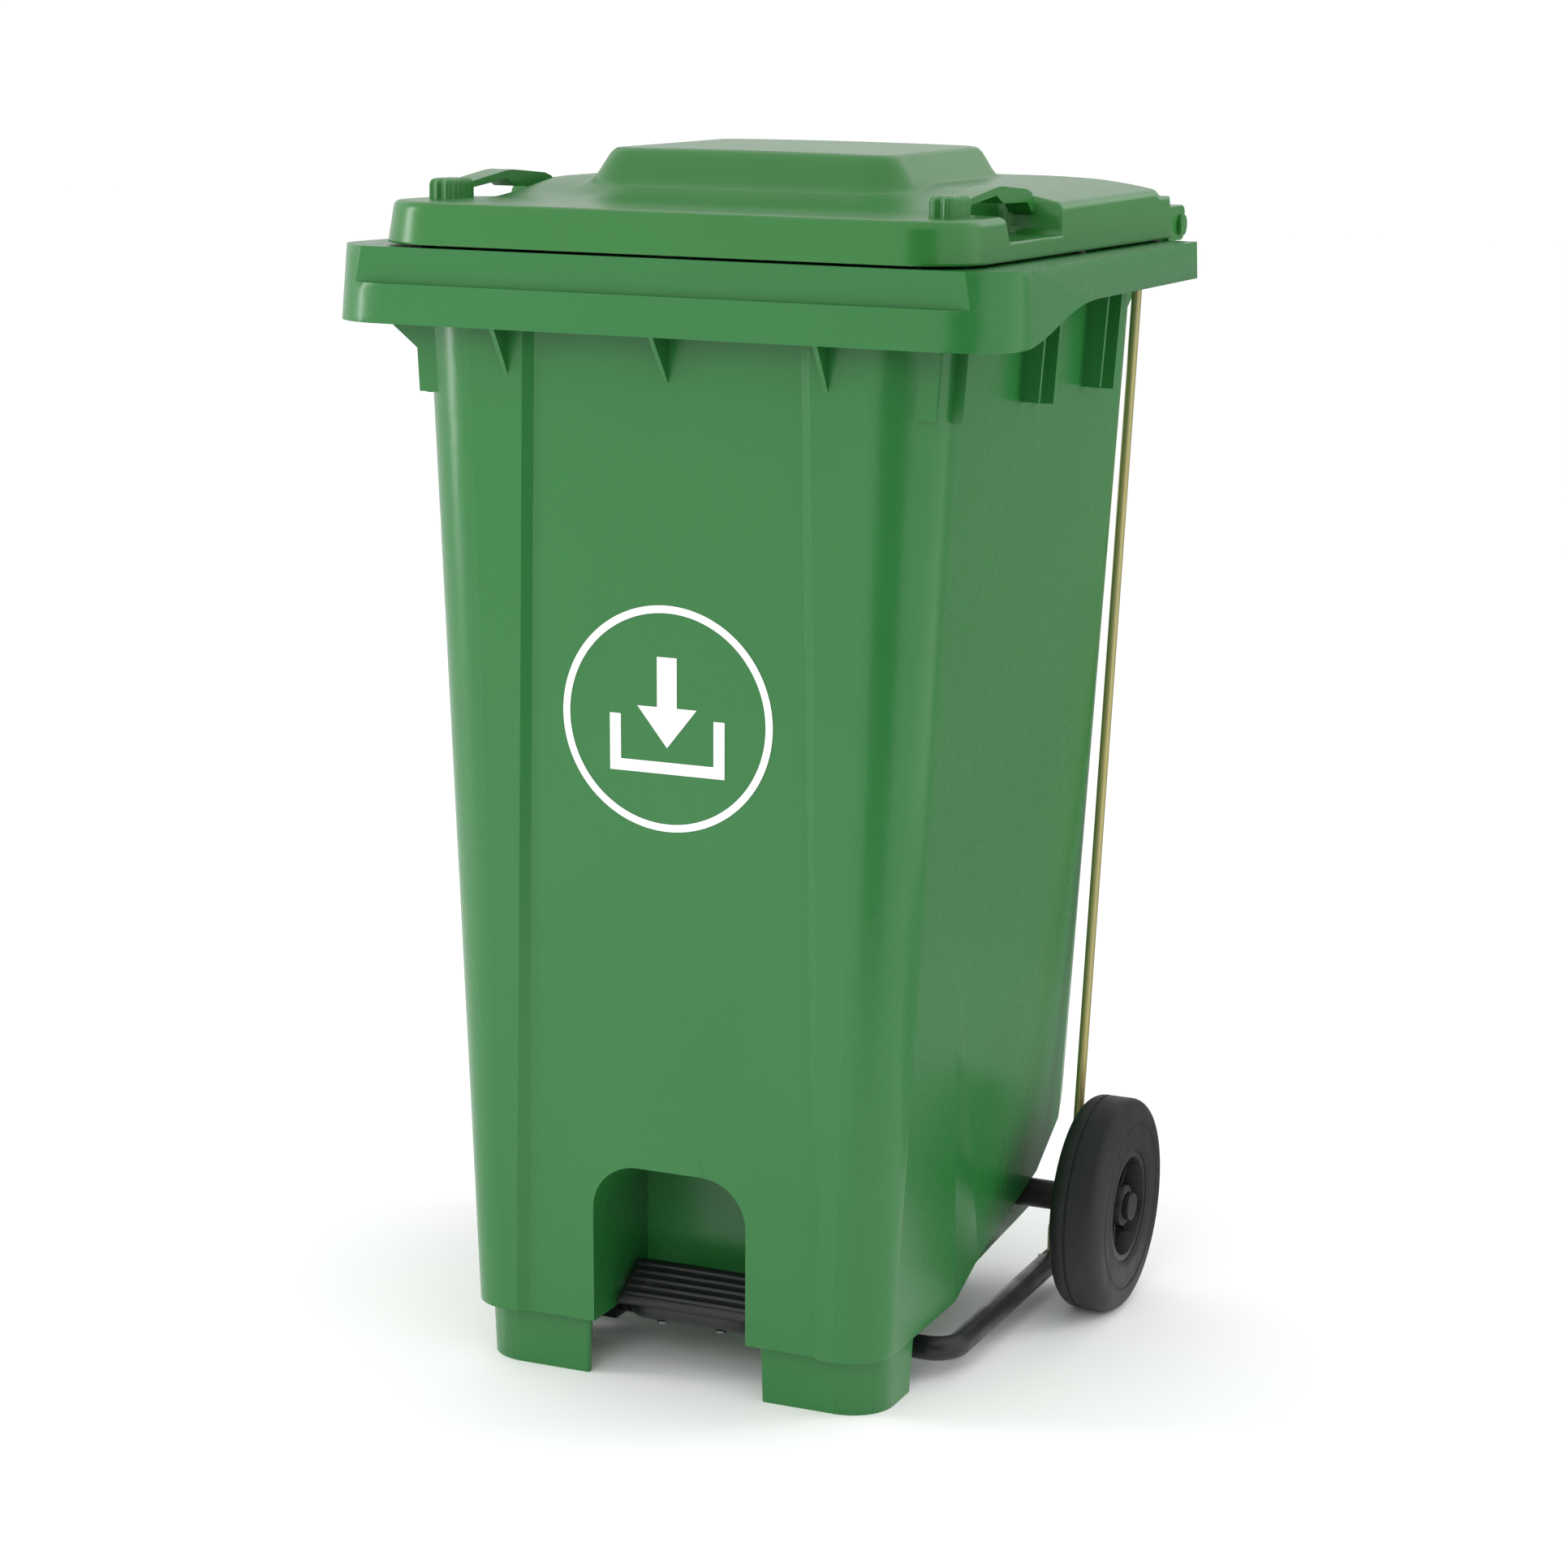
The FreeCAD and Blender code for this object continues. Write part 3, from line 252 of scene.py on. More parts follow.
# %% One material for each finish on the bin
MATERIALS = {
    "green_body": finish_material("green_body", (0.020, 0.156, 0.034), (0.018, 0.149, 0.031),
                                  (0.022, 0.162, 0.036), (0.265, 0.285), 1400.0, 0.012),
    "green_lid": finish_material("green_lid", (0.022, 0.162, 0.028), (0.020, 0.154, 0.025),
                                 (0.024, 0.168, 0.030), (0.255, 0.275), 1400.0, 0.012),
    "tyre_rubber": finish_material("tyre_rubber", (0.012, 0.012, 0.013), (0.016, 0.016, 0.017),
                                   (0.04, 0.04, 0.039), (0.5, 0.7), 700.0, 0.35),
    "black_plastic": finish_material("black_plastic", (0.012, 0.012, 0.013), (0.016, 0.016, 0.016),
                                     (0.03, 0.03, 0.03), (0.38, 0.5), 900.0, 0.2),
    "bush_plastic": finish_material("bush_plastic", (0.45, 0.45, 0.43), (0.4, 0.4, 0.38),
                                    (0.25, 0.25, 0.24), (0.35, 0.45), 600.0, 0.1),
    "treadle_plastic": finish_material("treadle_plastic", (0.008, 0.008, 0.009), (0.012, 0.012, 0.013),
                                       (0.05, 0.048, 0.05), (0.3, 0.55), 420.0, 0.6),
    "black_steel": finish_material("black_steel", (0.010, 0.010, 0.011), (0.014, 0.014, 0.015),
                                   (0.05, 0.048, 0.045), (0.3, 0.48), 1100.0, 0.25),
    "yellow_zinc": finish_material("yellow_zinc", (0.47, 0.42, 0.17), (0.40, 0.40, 0.20),
                                   (0.5, 0.36, 0.2), (0.34, 0.5), 260.0, 0.25, 0.75, (6, 6, 0.4)),
    "zinc_steel": finish_material("zinc_steel", (0.20, 0.205, 0.21), (0.16, 0.165, 0.165),
                                  (0.12, 0.12, 0.11), (0.4, 0.55), 500.0, 0.2, 0.9),
    "bright_steel": finish_material("bright_steel", (0.58, 0.58, 0.58), (0.5, 0.5, 0.5),
                                    (0.35, 0.34, 0.33), (0.22, 0.36), 500.0, 0.15, 1.0, (0.3, 6, 6)),
    "buffer_rubber": finish_material("buffer_rubber", (0.02, 0.02, 0.02), (0.03, 0.03, 0.03),
                                     (0.05, 0.05, 0.05), (0.6, 0.75), 500.0, 0.3),
    "white_print": finish_material("white_print", (0.86, 0.88, 0.86), (0.82, 0.85, 0.82),
                                   (0.6, 0.7, 0.6), (0.28, 0.4), 900.0, 0.08),
}
print("materials:", ", ".join(MATERIALS))

# %% [markdown]
# ## Surfaces from arrays
# Most new pieces are one idea repeated: a grid of points worked out as whole arrays, with one quad
# between each four neighbours. A modifier then gives the sheet its wall or rounds its corners.
# Working in arrays keeps a formula in one place, and a finer grid costs nothing but a larger
# number.

# %% Grid and slab makers


def new_piece(name, points, faces, material):
    """A smooth mesh at the origin from an (n, 3) array of metres and a list or array of faces."""
    mesh = bpy.data.meshes.new(name)
    mesh.from_pydata(points.tolist(), [], faces if isinstance(faces, list) else faces.tolist())
    mesh.polygons.foreach_set("use_smooth", [True] * len(mesh.polygons))
    mesh.update()
    piece = bpy.data.objects.new(name, mesh)
    piece.data.materials.append(material)
    bpy.context.scene.collection.objects.link(piece)
    return piece


def grid_faces(rows, columns, close_rows=False, close_columns=False, start=0):
    """Quads of a grid stored row by row; either direction can wrap round to its first line."""
    i = np.arange(rows if close_rows else rows - 1)
    j = np.arange(columns if close_columns else columns - 1)
    i, j = [a.ravel() for a in np.meshgrid(i, j, indexing="ij")]
    up, on = (i + 1) % rows, (j + 1) % columns
    corners = [i * columns + j, i * columns + on, up * columns + on, up * columns + j]
    return start + np.stack(corners, axis=1)


def soft_lower(a, b, blend):
    """The lower of two heights, with a parabola of the given width where they cross."""
    gap = np.clip(blend - np.abs(a - b), 0, None) / blend
    return np.minimum(a, b) - gap * gap * blend / 4


def soft_upper(a, b, blend):
    """The higher of two heights, rounded in the same way."""
    return -soft_lower(-a, -b, blend)


REPLACED = set()


def ride_on(piece, node, body):
    """Puts a finished piece on its body in the place of a CAD node."""
    REPLACED.add(node)
    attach(piece, body)
    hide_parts(node)


def add_bevel(piece, width, segments=3, angle=32):
    """Rounds the edges sharper than the angle."""
    bevel = piece.modifiers.new("edges", "BEVEL")
    bevel.width, bevel.segments = width, segments
    bevel.limit_method, bevel.angle_limit = "ANGLE", math.radians(angle)
    bevel.harden_normals = True


def add_wall(piece, thickness):
    """Gives an open sheet its wall, on the side away from its normals."""
    wall = piece.modifiers.new("wall", "SOLIDIFY")
    wall.thickness, wall.offset = thickness, -1.0


# %% [markdown]
# ## The lid
# The lid is one moulding: a skirt that flares to its lower edge, a rounded shoulder, a top that
# crowns gently and rises to the rear so that rain runs off, a raised dome, and a finger notch cut
# into each side. Subdivision modelling could do it, but every one of these features is a simple
# height over the plan, so the lid is made as a height field: the heights are combined with a soft
# lower or soft upper, which leaves the small fillets that a mould has.

# %% Plan of the lid
SKIRT_LEAN, LID_WALL, SKIRT_RINGS = 4.5 * MM, 3.6 * MM, 12
LID_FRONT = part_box("lid")[0].y + SKIRT_LEAN
LID_REAR = 255 * MM - SKIRT_LEAN
LID_HALF_FRONT, LID_HALF_REAR = 260 * MM - SKIRT_LEAN, 255 * MM - SKIRT_LEAN
LID_CORNER, LID_BACK_CORNER = 53.5 * MM, 14 * MM
LID_FRONT_Z, LID_SHOULDER_R, LID_HEM_Z = 1006 * MM, 6 * MM, 972.6 * MM
NOTCH_FRONT, NOTCH_REAR, NOTCH_IN, NOTCH_FLOOR = -205 * MM, -73 * MM, 201 * MM, 987 * MM
PLAN_STEP, PLAN_MARGIN, ARC_LINES = 4 * MM, 2 * MM, 15
FRONT_ROWS, REAR_ROWS, FRONT_CROWDING = 16, 7, 1.3
# Where the extra lines lie on either side of a notch's edge, and how near an even line may come to one.
CLOSE_LINES, CLOSEST = np.array([-7, -5, -3.5, -2, -1, 0, 1, 2.5, 4.5]) * MM, 1.2 * MM


def half_width(y):
    """Half the lid's width, shrinking evenly from the front to the rear."""
    return LID_HALF_FRONT + (LID_HALF_REAR - LID_HALF_FRONT) * (y - LID_FRONT) / (LID_REAR - LID_FRONT)


def grid_lines(low, high, step, tight):
    """Even steps between two values, with closer lines round each value in tight."""
    even = np.linspace(low, high, int(round((high - low) / step)) + 1)
    close = np.concatenate([t + CLOSE_LINES for t in tight])
    close = close[(close > low) & (close < high)]
    kept = even[np.abs(even[:, None] - close[None, :]).min(1) > CLOSEST]
    return np.sort(np.concatenate([kept, close, [low, high]]))[1:-1]


def lid_plan():
    """Grid over the plan: columns run across in even steps and then by the angle of the corner arc, and
    rows follow the front arc, the straight sides and the rear arc in turn."""
    inner = LID_HALF_FRONT - LID_CORNER
    turn = np.linspace(0, math.pi / 2, ARC_LINES)[1:]
    straight = grid_lines(0, inner, PLAN_STEP, [NOTCH_IN])[1:]
    right = np.concatenate([straight, inner + LID_CORNER * np.sin(turn)])
    right = np.unique(np.round(right, 6))
    across = np.concatenate([-right[::-1], [0.0], right]) / LID_HALF_FRONT
    x0 = np.abs(across) * LID_HALF_FRONT
    over = np.clip(x0 - inner, 0, LID_CORNER)
    front = LID_FRONT + LID_CORNER - np.sqrt(LID_CORNER ** 2 - over ** 2)
    back_over = np.clip(x0 - (LID_HALF_FRONT - LID_BACK_CORNER), 0, LID_BACK_CORNER)
    rear = LID_REAR - LID_BACK_CORNER + np.sqrt(LID_BACK_CORNER ** 2 - back_over ** 2)
    first, last = LID_FRONT + LID_CORNER + PLAN_MARGIN, LID_REAR - LID_BACK_CORNER - PLAN_MARGIN
    ahead = np.linspace(0, 1, FRONT_ROWS)[:-1] ** FRONT_CROWDING
    middle = grid_lines(first, last, PLAN_STEP, [NOTCH_FRONT, NOTCH_REAR])
    behind = np.linspace(0, 1, REAR_ROWS)[1:]
    y = np.concatenate([front[None, :] + (first - front[None, :]) * ahead[:, None],
                        np.repeat(middle[:, None], len(x0), axis=1),
                        last + (rear[None, :] - last) * behind[:, None]])
    return across[None, :] * half_width(y), y


def edge_distance(x, y, half, front, rear, corner):
    """Distance inwards from a rectangle with rounded corners, negative outside it."""
    middle, length = (front + rear) / 2, (rear - front) / 2
    dx, dy = np.abs(x) - half + corner, np.abs(y - middle) - length + corner
    outside = np.hypot(np.clip(dx, 0, None), np.clip(dy, 0, None))
    return corner - outside - np.clip(np.maximum(dx, dy), None, 0)


# %% Heights of the lid
RISE_FRONT, RISE_RUN, BACK_FRONT = -225 * MM, 150 * MM, -75 * MM
# Heights in mm: the edge line's two rises, and the crown in front and what it gains to the rear.
EDGE_RISE, EDGE_BACK_RISE, CROWN_FRONT, CROWN_GAIN = 6, 2.5, 2, 11
CROWN_RUN, DOME_BLEND, NOTCH_BLEND = 120 * MM, 6 * MM, 3 * MM
NOTCH_WALL_SLOPE, NOTCH_FLOOR_SLOPE = 5.5, 0.02
DOME_HALF, DOME_FRONT, DOME_REAR, DOME_CORNER = 127 * MM, -141 * MM, 97 * MM, 22 * MM
# The roof's height, its rise to the rear and its fall to the sides, in mm; then the faces and the flare.
ROOF_Z, ROOF_RISE, ROOF_FALL, ROOF_BLEND = 1049, 3.5, 1, 8 * MM
FACE_TOP_Z, FACE_SLOPE = 1050 * MM, 1.6
FLARE_Z, FLARE_TOP_Z, FLARE_SLOPE, FLARE_RUN, FLARE_BLEND = 1020 * MM, 1026 * MM, 0.46, 18 * MM, 4 * MM


def rise_to_rear(y):
    """Smooth step: 0 along the front, 1 from about two fifths of the way back."""
    t = np.clip((y - RISE_FRONT) / RISE_RUN, 0, 1)
    return t * t * (3 - 2 * t)


def edge_height(y):
    """Height of the lid's edge line, low across the front and rising to the rear."""
    back = np.clip((y - BACK_FRONT) / (LID_REAR - BACK_FRONT), 0, 1)
    return LID_FRONT_Z + (EDGE_RISE * rise_to_rear(y) + EDGE_BACK_RISE * back) * MM


def notch_height(x, y):
    """Floor of the finger notch, rising steeply past its inner wall and its two ends."""
    past = np.maximum.reduce([NOTCH_IN - np.abs(x), NOTCH_FRONT - y, y - NOTCH_REAR, np.zeros_like(x)])
    return NOTCH_FLOOR + NOTCH_WALL_SLOPE * past + NOTCH_FLOOR_SLOPE * (half_width(y) - np.abs(x))


def dome_height(x, y):
    """Steep faces under a flat roof, standing on a low flare that runs out in front."""
    inward = edge_distance(x, y, DOME_HALF, DOME_FRONT, DOME_REAR, DOME_CORNER)
    back = np.clip((y - DOME_FRONT) / (DOME_REAR - DOME_FRONT), 0, 1)
    roof = (ROOF_Z + ROOF_RISE * back - ROOF_FALL * (x / DOME_HALF) ** 2) * MM
    faces = soft_lower(roof, FACE_TOP_Z + FACE_SLOPE * inward, ROOF_BLEND)
    flare = np.minimum(FLARE_Z + FLARE_SLOPE * (inward + FLARE_RUN), FLARE_TOP_Z)
    return soft_upper(faces, flare, FLARE_BLEND)


def lid_top(x, y):
    """Height of the lid: edge line, crown, shoulder round-off, dome and notch, in that order."""
    inward = np.clip(edge_distance(x, y, half_width(y), LID_FRONT, LID_REAR, LID_CORNER), 0, None)
    crown = 1 - (1 - np.clip(inward / CROWN_RUN, 0, 1)) ** 2
    height = edge_height(y) + crown * (CROWN_FRONT + CROWN_GAIN * rise_to_rear(y)) * MM
    round_off = np.clip(LID_SHOULDER_R - inward, 0, None)
    height = height - LID_SHOULDER_R + np.sqrt(LID_SHOULDER_R ** 2 - round_off ** 2)
    height = soft_upper(height, dome_height(x, y), DOME_BLEND)
    return soft_lower(height, notch_height(x, y), NOTCH_BLEND)


# %% The lid's sheet
def skirt_rings(rim):
    """Points of the skirt: the top's outline carried down in rings, each a little further out; where a
    notch is lower than a ring, the ring sinks to the notch's floor."""
    run = (np.roll(rim, -1, axis=0) - np.roll(rim, 1, axis=0))[:, :2]
    outward = np.stack([run[:, 1], -run[:, 0]], axis=1)
    outward /= np.linalg.norm(outward, axis=1)[:, None]
    fall = np.linspace(0, 1, SKIRT_RINGS + 1)[1:]
    top_z = edge_height(rim[:, 1]) - LID_SHOULDER_R
    ring_z = top_z[None, :] + (LID_HEM_Z - top_z[None, :]) * fall[:, None]
    place = rim[None, :, :2] + outward[None] * (SKIRT_LEAN * fall)[:, None, None]
    limit = notch_height(np.abs(place[:, :, 0]), place[:, :, 1])
    ring_z = np.minimum(ring_z, limit)
    return np.concatenate([place, ring_z[:, :, None]], axis=2).reshape(-1, 3)


def lid_sheet(material):
    """Top grid and skirt in one mesh, joined by a seam along the top's outline."""
    x, y = lid_plan()
    rows, columns = x.shape
    top = np.stack([x, y, lid_top(x, y)], axis=2).reshape(-1, 3)
    index = np.arange(rows * columns).reshape(rows, columns)
    loop = np.concatenate([index[0, :-1], index[:-1, -1], index[-1, :0:-1], index[:0:-1, 0]])
    points = np.concatenate([top, skirt_rings(top[loop])])
    skirt = grid_faces(SKIRT_RINGS, len(loop), close_columns=True, start=rows * columns)[:, ::-1]
    first = rows * columns + np.arange(len(loop))
    seam = np.stack([loop, first, np.roll(first, -1), np.roll(loop, -1)], axis=1)
    faces = np.concatenate([grid_faces(rows, columns), skirt, seam])
    piece = new_piece("lid_shell", points, faces, material)
    add_wall(piece, LID_WALL)
    print("lid shell:", len(points), "points, top", round(float(top[:, 2].max()), 4))
    return piece


ride_on(lid_sheet(MATERIALS["green_lid"]), "lid", "lid")

# %% [markdown]
# ## Grips and hinge ears
# On each side a bar bridges the finger notch, with a ribbed post in front of it. The bar is a plate
# with a shaped side view, so its outline is drawn once and pulled across the lid, and a bevel
# rounds it. The post is a rounded loop whose distance from its middle ripples along its own length,
# which gives the ribs. The ears behind are the same kind of plate: blocks with rounded rear corners
# that cover the hinge line.

# %% Plates, loops and their joins
HINGE = frame["joints"][0]["pos_m"]
SIDES = {"left": -1, "right": 1}
LOOP_SAMPLES = 200
# Turns the loop's samples off the axes, where the sign of a side would be zero.
OFF_AXIS = 0.001


def plate(side_view, x0, x1):
    """Points and faces of a plate: a (y, z) outline pulled from x0 to x1, capped at each end."""
    outline = np.array(side_view)
    n = len(outline)
    points = np.concatenate([np.column_stack([np.full(n, x), outline]) for x in (x0, x1)])
    ring = np.arange(n)
    sides = np.stack([ring, np.roll(ring, -1), np.roll(ring, -1) + n, ring + n], axis=1)
    return points, sides.tolist() + [list(range(n))[::-1], list(range(n, 2 * n))]


def stacked_rings(rings):
    """Points and faces of closed loops joined in order, with a cap on the first and the last."""
    count = rings.shape[1]
    faces = grid_faces(len(rings), count, close_columns=True).tolist()
    last = (len(rings) - 1) * count
    return rings.reshape(-1, 3), faces + [list(range(count))[::-1], list(range(last, last + count))]


def even_loop(half_x, half_y, radius, count):
    """Rounded rectangle with its points at even steps along its length."""
    angle = np.linspace(0, 2 * math.pi, LOOP_SAMPLES, endpoint=False) + OFF_AXIS
    sign_x, sign_y = np.sign(np.cos(angle)), np.sign(np.sin(angle))
    loop = np.column_stack([sign_x * (half_x - radius) + radius * np.cos(angle),
                            sign_y * (half_y - radius) + radius * np.sin(angle)])
    loop = np.concatenate([loop, loop[:1]])
    length = np.concatenate([[0], np.cumsum(np.hypot(*np.diff(loop, axis=0).T))])
    at = np.linspace(0, length[-1], count, endpoint=False)
    return np.column_stack([np.interp(at, length, loop[:, 0]), np.interp(at, length, loop[:, 1])])


def gathered(parts):
    """Points and faces of several parts as one list each."""
    points, faces, start = [], [], 0
    for part_points, part_faces in parts:
        points.append(part_points)
        faces += [[i + start for i in face] for face in part_faces]
        start += len(part_points)
    return np.concatenate(points), faces


def face_outwards(piece):
    """Turns every face of a closed mesh outwards."""
    work = bmesh.new()
    work.from_mesh(piece.data)
    bmesh.ops.recalc_face_normals(work, faces=work.faces)
    work.to_mesh(piece.data)
    work.free()


# %% Grips
BAR_IN, BAR_OUT, BAR_TOP_Z = 209 * MM, 230 * MM, 1028 * MM
POST_MIDDLE, POST_HALF, POST_CORNER = (219.5 * MM, -243 * MM), (11.0 * MM, 19.5 * MM), 4 * MM
POST_POINTS, POST_RIBS, RIPPLE = 120, 14, 0.055
# Height and inset of each ring of the post, in mm.
POST_RINGS = ((998, 0), (1018, 0), (1021, 0.6), (1022.6, 2.0), (1023.2, 4.0))


def ribbed_post(side):
    """Rings of a rounded loop whose distance from its middle ripples by a few hundredths, once for each
    rib; the upper rings are drawn in to round the post's top."""
    loop = even_loop(*POST_HALF, POST_CORNER, POST_POINTS)
    reach = 1 + RIPPLE * np.cos(np.linspace(0, 2 * math.pi * POST_RIBS, POST_POINTS, endpoint=False))
    rings = []
    for z, inset in POST_RINGS:
        flat = loop * reach[:, None] * (1 - inset * MM / POST_HALF[0])
        rings.append(np.column_stack([side * (POST_MIDDLE[0] + flat[:, 0]), POST_MIDDLE[1] + flat[:, 1],
                                      np.full(POST_POINTS, z * MM)]))
    return stacked_rings(np.array(rings))


def lid_grip(word):
    """Bar over the notch, drawn from the side: ramp up from the post, crest, fall to the lid, and the
    underside back again with the gap for the fingers."""
    side = SIDES[word]
    f, r, z = NOTCH_FRONT, NOTCH_REAR, BAR_TOP_Z
    view = [(f - 30 * MM, z - 9 * MM), (f - 12 * MM, z - 6.5 * MM), (r - 92 * MM, z - 0.6 * MM),
            (r - 80 * MM, z), (r - 66 * MM, z - 0.8 * MM), (r - 18 * MM, z - 4 * MM),
            (r - 6 * MM, z - 7 * MM), (r + 7 * MM, z - 21 * MM), (r - 3 * MM, z - 24 * MM),
            (r - 16 * MM, z - 15 * MM), (r - 74 * MM, z - 14 * MM), (r - 92 * MM, z - 7.5 * MM),
            (f - 9 * MM, z - 12 * MM), (f - 30 * MM, z - 14 * MM)]
    inner, outer = sorted((side * BAR_IN, side * BAR_OUT))
    piece = new_piece("lid_grip_" + word, *gathered([plate(view, inner, outer), ribbed_post(side)]),
                      MATERIALS["green_lid"])
    face_outwards(piece)
    add_bevel(piece, 2.0 * MM, 3, 28)
    return piece


# %% Ears
EAR_IN, EAR_OUT, EAR_TOP_Z, EAR_FOOT_Z = 203 * MM, 249 * MM, 999.5 * MM, 968 * MM


def hinge_ear(word):
    """Block over the hinge line with rounded rear corners, its front end buried in the lid's wall."""
    side = SIDES[word]
    root, back = LID_REAR - 2 * MM, HINGE[1] + 15 * MM
    top, foot = EAR_TOP_Z, EAR_FOOT_Z
    view = [(root, top), (back - 7 * MM, top), (back - 2.4 * MM, top - 1.6 * MM),
            (back, top - 6 * MM), (back, foot + 6 * MM), (back - 3 * MM, foot + 1 * MM),
            (back - 8 * MM, foot), (root, foot)]
    inner, outer = sorted((side * EAR_IN, side * EAR_OUT))
    piece = new_piece("lid_ear_" + word, *plate(view, inner, outer), MATERIALS["green_lid"])
    face_outwards(piece)
    add_bevel(piece, 1.8 * MM, 3, 25)
    return piece


for word in SIDES:
    ride_on(lid_grip(word), "lid", "lid")
    ride_on(hinge_ear(word), "lid", "lid")
print("grips and ears made")

# %% [markdown]
# ## Tyres
# A solid rubber tyre is a ring with a round shoulder, a parting line left by its two-part mould,
# and a raised bead near the hub. Anything with one axis is easiest as a profile turned about it.
# The profile is written as distances along the axle and from it, with its shoulders as arcs.

# %% Tyre surface
TYRE_SHOULDER, TYRE_BORE_R, TURN_STEPS, ARC_POINTS = 13 * MM, 52.2 * MM, 144, 9
GROOVE_IN, GROOVE_DEPTH = 17 * MM, 1.6 * MM


def quarter(centre_x, centre_r, start, finish, radius):
    """Points of an arc in the plane of the distances along the axle and from it."""
    angle = np.linspace(start, finish, ARC_POINTS)
    return np.column_stack([centre_x + radius * np.cos(angle), centre_r + radius * np.sin(angle)])


def turned(profile, centre_y, centre_z, steps):
    """Closed profile of (x, radius) points turned once about the X line through the centre."""
    angle = np.linspace(0, 2 * math.pi, steps, endpoint=False)[:, None]
    x = np.broadcast_to(profile[None, :, 0], (steps, len(profile)))
    points = np.stack([x, centre_y + profile[None, :, 1] * np.cos(angle),
                       centre_z + profile[None, :, 1] * np.sin(angle)], axis=2).reshape(-1, 3)
    return points, grid_faces(steps, len(profile), True, True)


def tyre_piece(word):
    """Tyre: bore, inner wall, shoulder, tread with its groove, shoulder, and outer wall with a ring."""
    side = SIDES[word]
    low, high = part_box("tyre_" + word)
    inner, outer = sorted((abs(low.x), abs(high.x)))
    centre_y, centre_z = (low.y + high.y) / 2, (low.z + high.z) / 2
    radius, s, bore = (high.z - low.z) / 2, TYRE_SHOULDER, TYRE_BORE_R
    groove = inner + GROOVE_IN
    profile = np.concatenate([
        [(inner + 2 * MM, bore), (inner + 1.2 * MM, bore + 4 * MM), (inner + 0.3 * MM, bore + 7 * MM)],
        quarter(inner + s, radius - s, math.pi, math.pi / 2, s),
        [(groove - 1.2 * MM, radius), (groove - 0.5 * MM, radius - GROOVE_DEPTH),
         (groove + 0.5 * MM, radius - GROOVE_DEPTH), (groove + 1.2 * MM, radius)],
        quarter(outer - s, radius - s, math.pi / 2, 0, s),
        [(outer - 0.2 * MM, 79 * MM), (outer - 1.3 * MM, 78 * MM), (outer - 1.3 * MM, 76 * MM),
         (outer - 0.2 * MM, 75 * MM), (outer - 0.8 * MM, 62 * MM), (outer - 0.2 * MM, 59.5 * MM),
         (outer - 0.6 * MM, 56 * MM), (outer - 2.2 * MM, bore)]])
    profile[:, 0] *= side
    piece = new_piece("tyre_surface_" + word, *turned(profile, centre_y, centre_z, TURN_STEPS),
                      MATERIALS["tyre_rubber"])
    face_outwards(piece)
    add_bevel(piece, 0.4 * MM, 2, 30)
    return piece


for word in SIDES:
    ride_on(tyre_piece(word), "tyre_" + word, "wheel_" + word)
print("tyres made")

# %% [markdown]
# ## Treadle
# The treadle is a moulded pad that tips down to the front. A shoe needs grip on it, so its top
# carries cross ribs, and its edges roll down all round. Both are simple heights over a flat grid,
# which is then tipped.

# %% Treadle surface
PAD_TILT, PAD_HALF_X, PAD_HALF_V = math.radians(32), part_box("pedal_pad")[1].x, 26 * MM
PAD_MIDDLE, PAD_WALL, PAD_COLUMNS, PAD_ROWS = (-214 * MM, 76.5 * MM), 3 * MM, 97, 105
PAD_CROWN, PAD_SIDE_FALL, PAD_ROLL_RUN, PAD_ROLL_DROP = 4.5 * MM, 0.3, 6 * MM, 6.5 * MM
RIB_PITCH, RIB_HEIGHT, RIB_FLATNESS, RIB_MARGIN, RIB_FADE = 8.5 * MM, 1.5 * MM, 0.6, 5 * MM, 2 * MM
SADDLE_HALF = 32 * MM


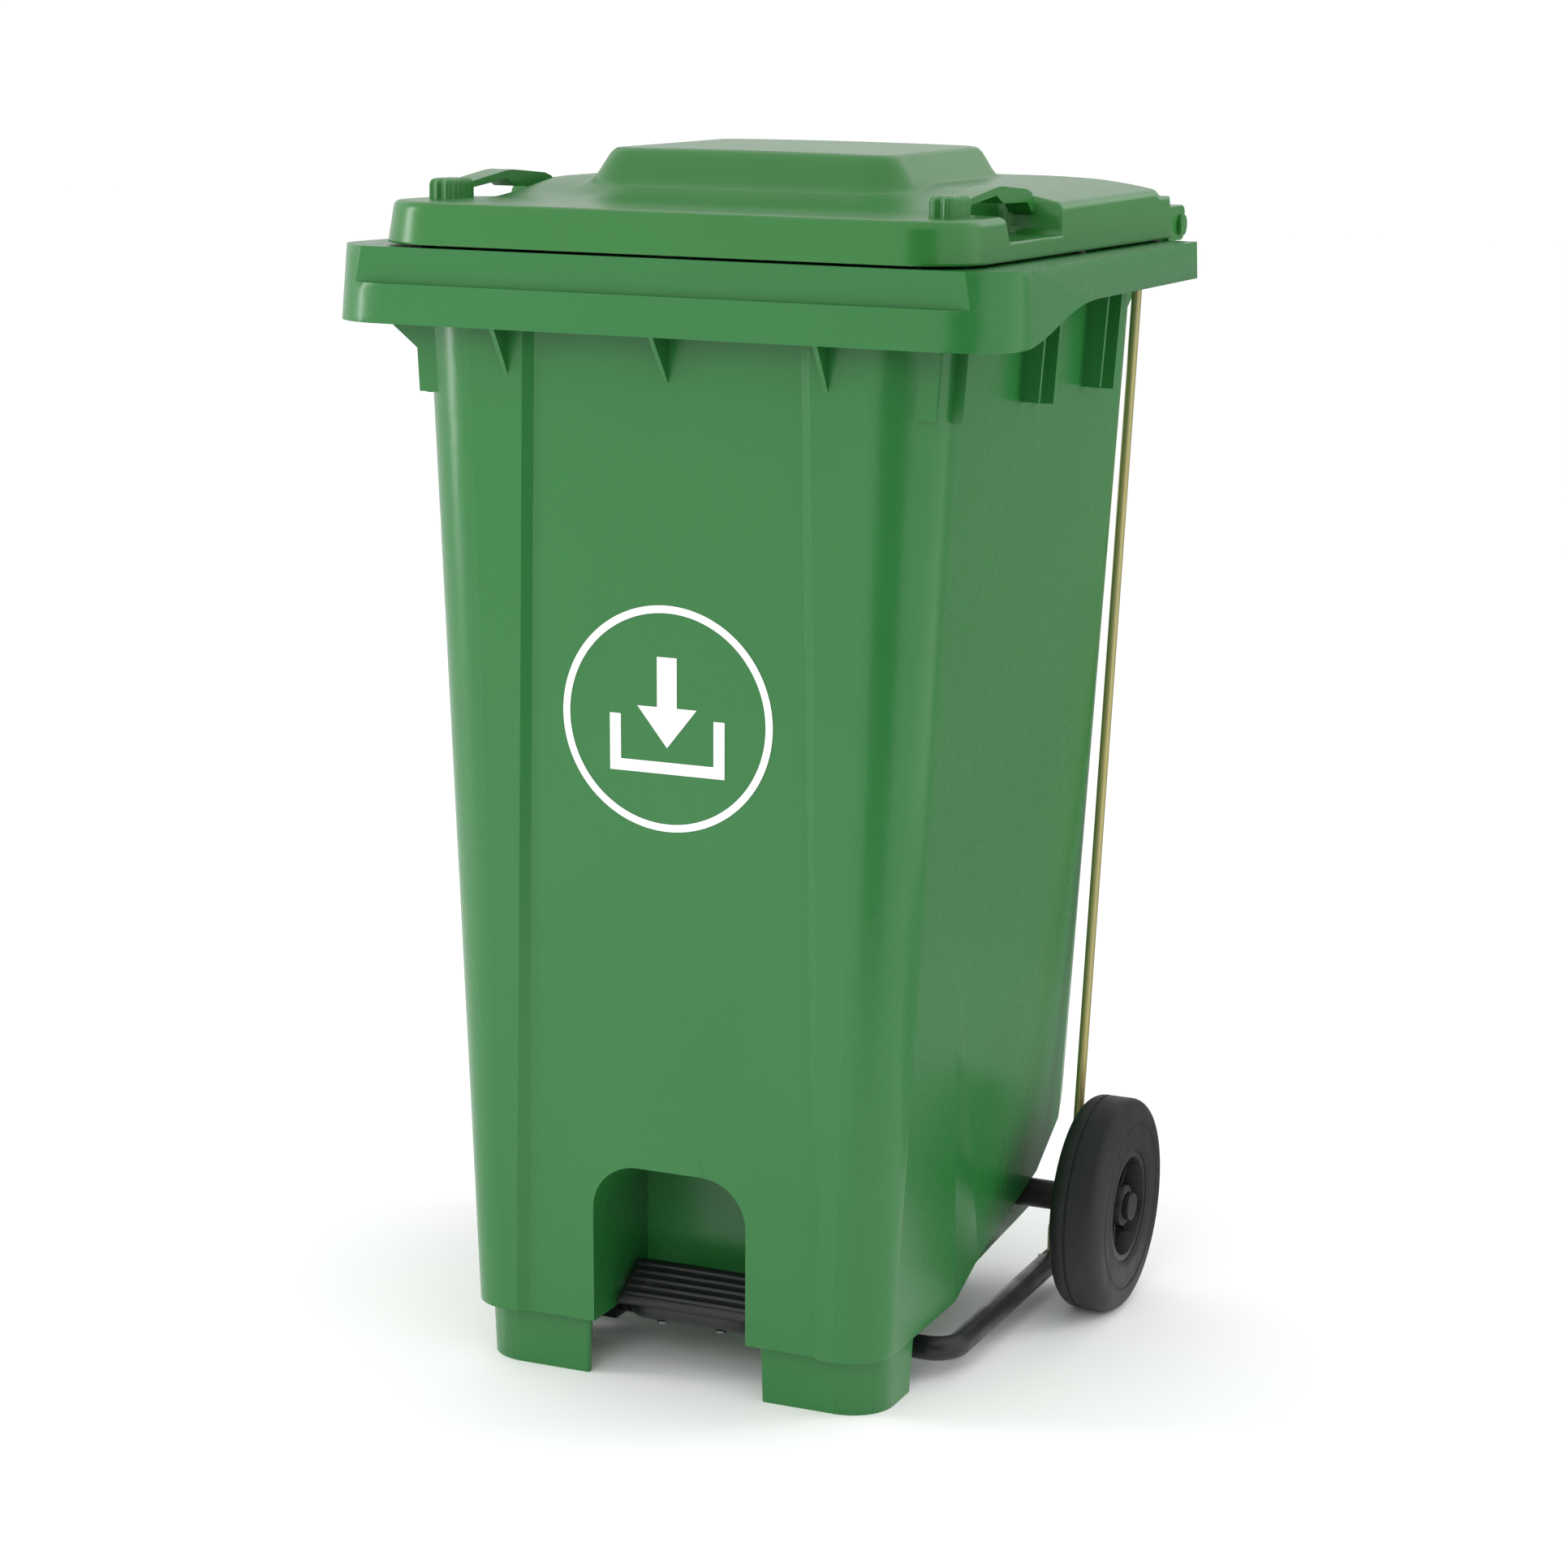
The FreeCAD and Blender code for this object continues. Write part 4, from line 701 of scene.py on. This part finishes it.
def treadle():
    """Height: a crown, less a quarter-round fall near each edge, plus ribs that fade at their ends."""
    u = np.linspace(-1, 1, PAD_COLUMNS)[None, :]
    v = np.linspace(-1, 1, PAD_ROWS)[:, None]
    x, along = u * PAD_HALF_X, v * PAD_HALF_V
    near = np.minimum((1 - np.abs(u)) * PAD_HALF_X, (1 - np.abs(v)) * PAD_HALF_V)
    fall = np.clip(1 - near / PAD_ROLL_RUN, 0, 1)
    ribs = np.clip(np.cos(along * 2 * math.pi / RIB_PITCH), 0, 1) ** RIB_FLATNESS
    ribs = ribs * np.clip((near - RIB_MARGIN) / RIB_FADE, 0, 1)
    height = PAD_CROWN * (1 - u ** 4 * PAD_SIDE_FALL) - PAD_ROLL_DROP * (1 - np.sqrt(1 - fall ** 2))
    height = height + RIB_HEIGHT * ribs
    x, along, height = np.broadcast_arrays(x, along, height)
    y = PAD_MIDDLE[0] + along * math.cos(PAD_TILT) - height * math.sin(PAD_TILT)
    z = PAD_MIDDLE[1] + along * math.sin(PAD_TILT) + height * math.cos(PAD_TILT)
    piece = new_piece("treadle_top", np.stack([x, y, z], axis=2).reshape(-1, 3),
                      grid_faces(PAD_ROWS, PAD_COLUMNS), MATERIALS["treadle_plastic"])
    add_wall(piece, PAD_WALL)
    return piece


def treadle_saddle():
    """Block between the treadle and the tube."""
    view = [(-229 * MM, 69 * MM), (-213 * MM, 69 * MM), (-211 * MM, 79 * MM), (-229 * MM, 71 * MM)]
    piece = new_piece("treadle_saddle", *plate(view, -SADDLE_HALF, SADDLE_HALF),
                      MATERIALS["treadle_plastic"])
    face_outwards(piece)
    add_bevel(piece, 0.8 * MM)
    return piece


for piece in (treadle(), treadle_saddle()):
    ride_on(piece, "pedal_pad", "pedal")
print("treadle made")

# %% [markdown]
# ## The solids that stay
# The tub, the rods, the tube and the small metal parts already have their true shape. What they
# lack is the small radius that every real edge has, because a mould or a punch never leaves a knife
# edge. A bevel modifier adds it. The solids come in as loose triangles, so a weld modifier joins
# them first.

# %% Soft edges and finishes on the carried-over solids
TUB_EDGE_R, SMALL_EDGE_R, WELD_DISTANCE = 1.4 * MM, 0.4 * MM, 0.00001


def dress(node):
    """Gives a carried-over solid its material, welded triangles and rounded edges."""
    piece = NODES[node]
    piece.data.materials.clear()
    piece.data.materials.append(MATERIALS[SLOT_OF[node]])
    weld = piece.modifiers.new("joined", "WELD")
    weld.merge_threshold = WELD_DISTANCE
    add_bevel(piece, TUB_EDGE_R if node == "bin_body" else SMALL_EDGE_R, 2)


KEPT = [node for node in NODES if node not in REPLACED]
for node in KEPT:
    dress(node)
print("dressed", len(KEPT), "solids")
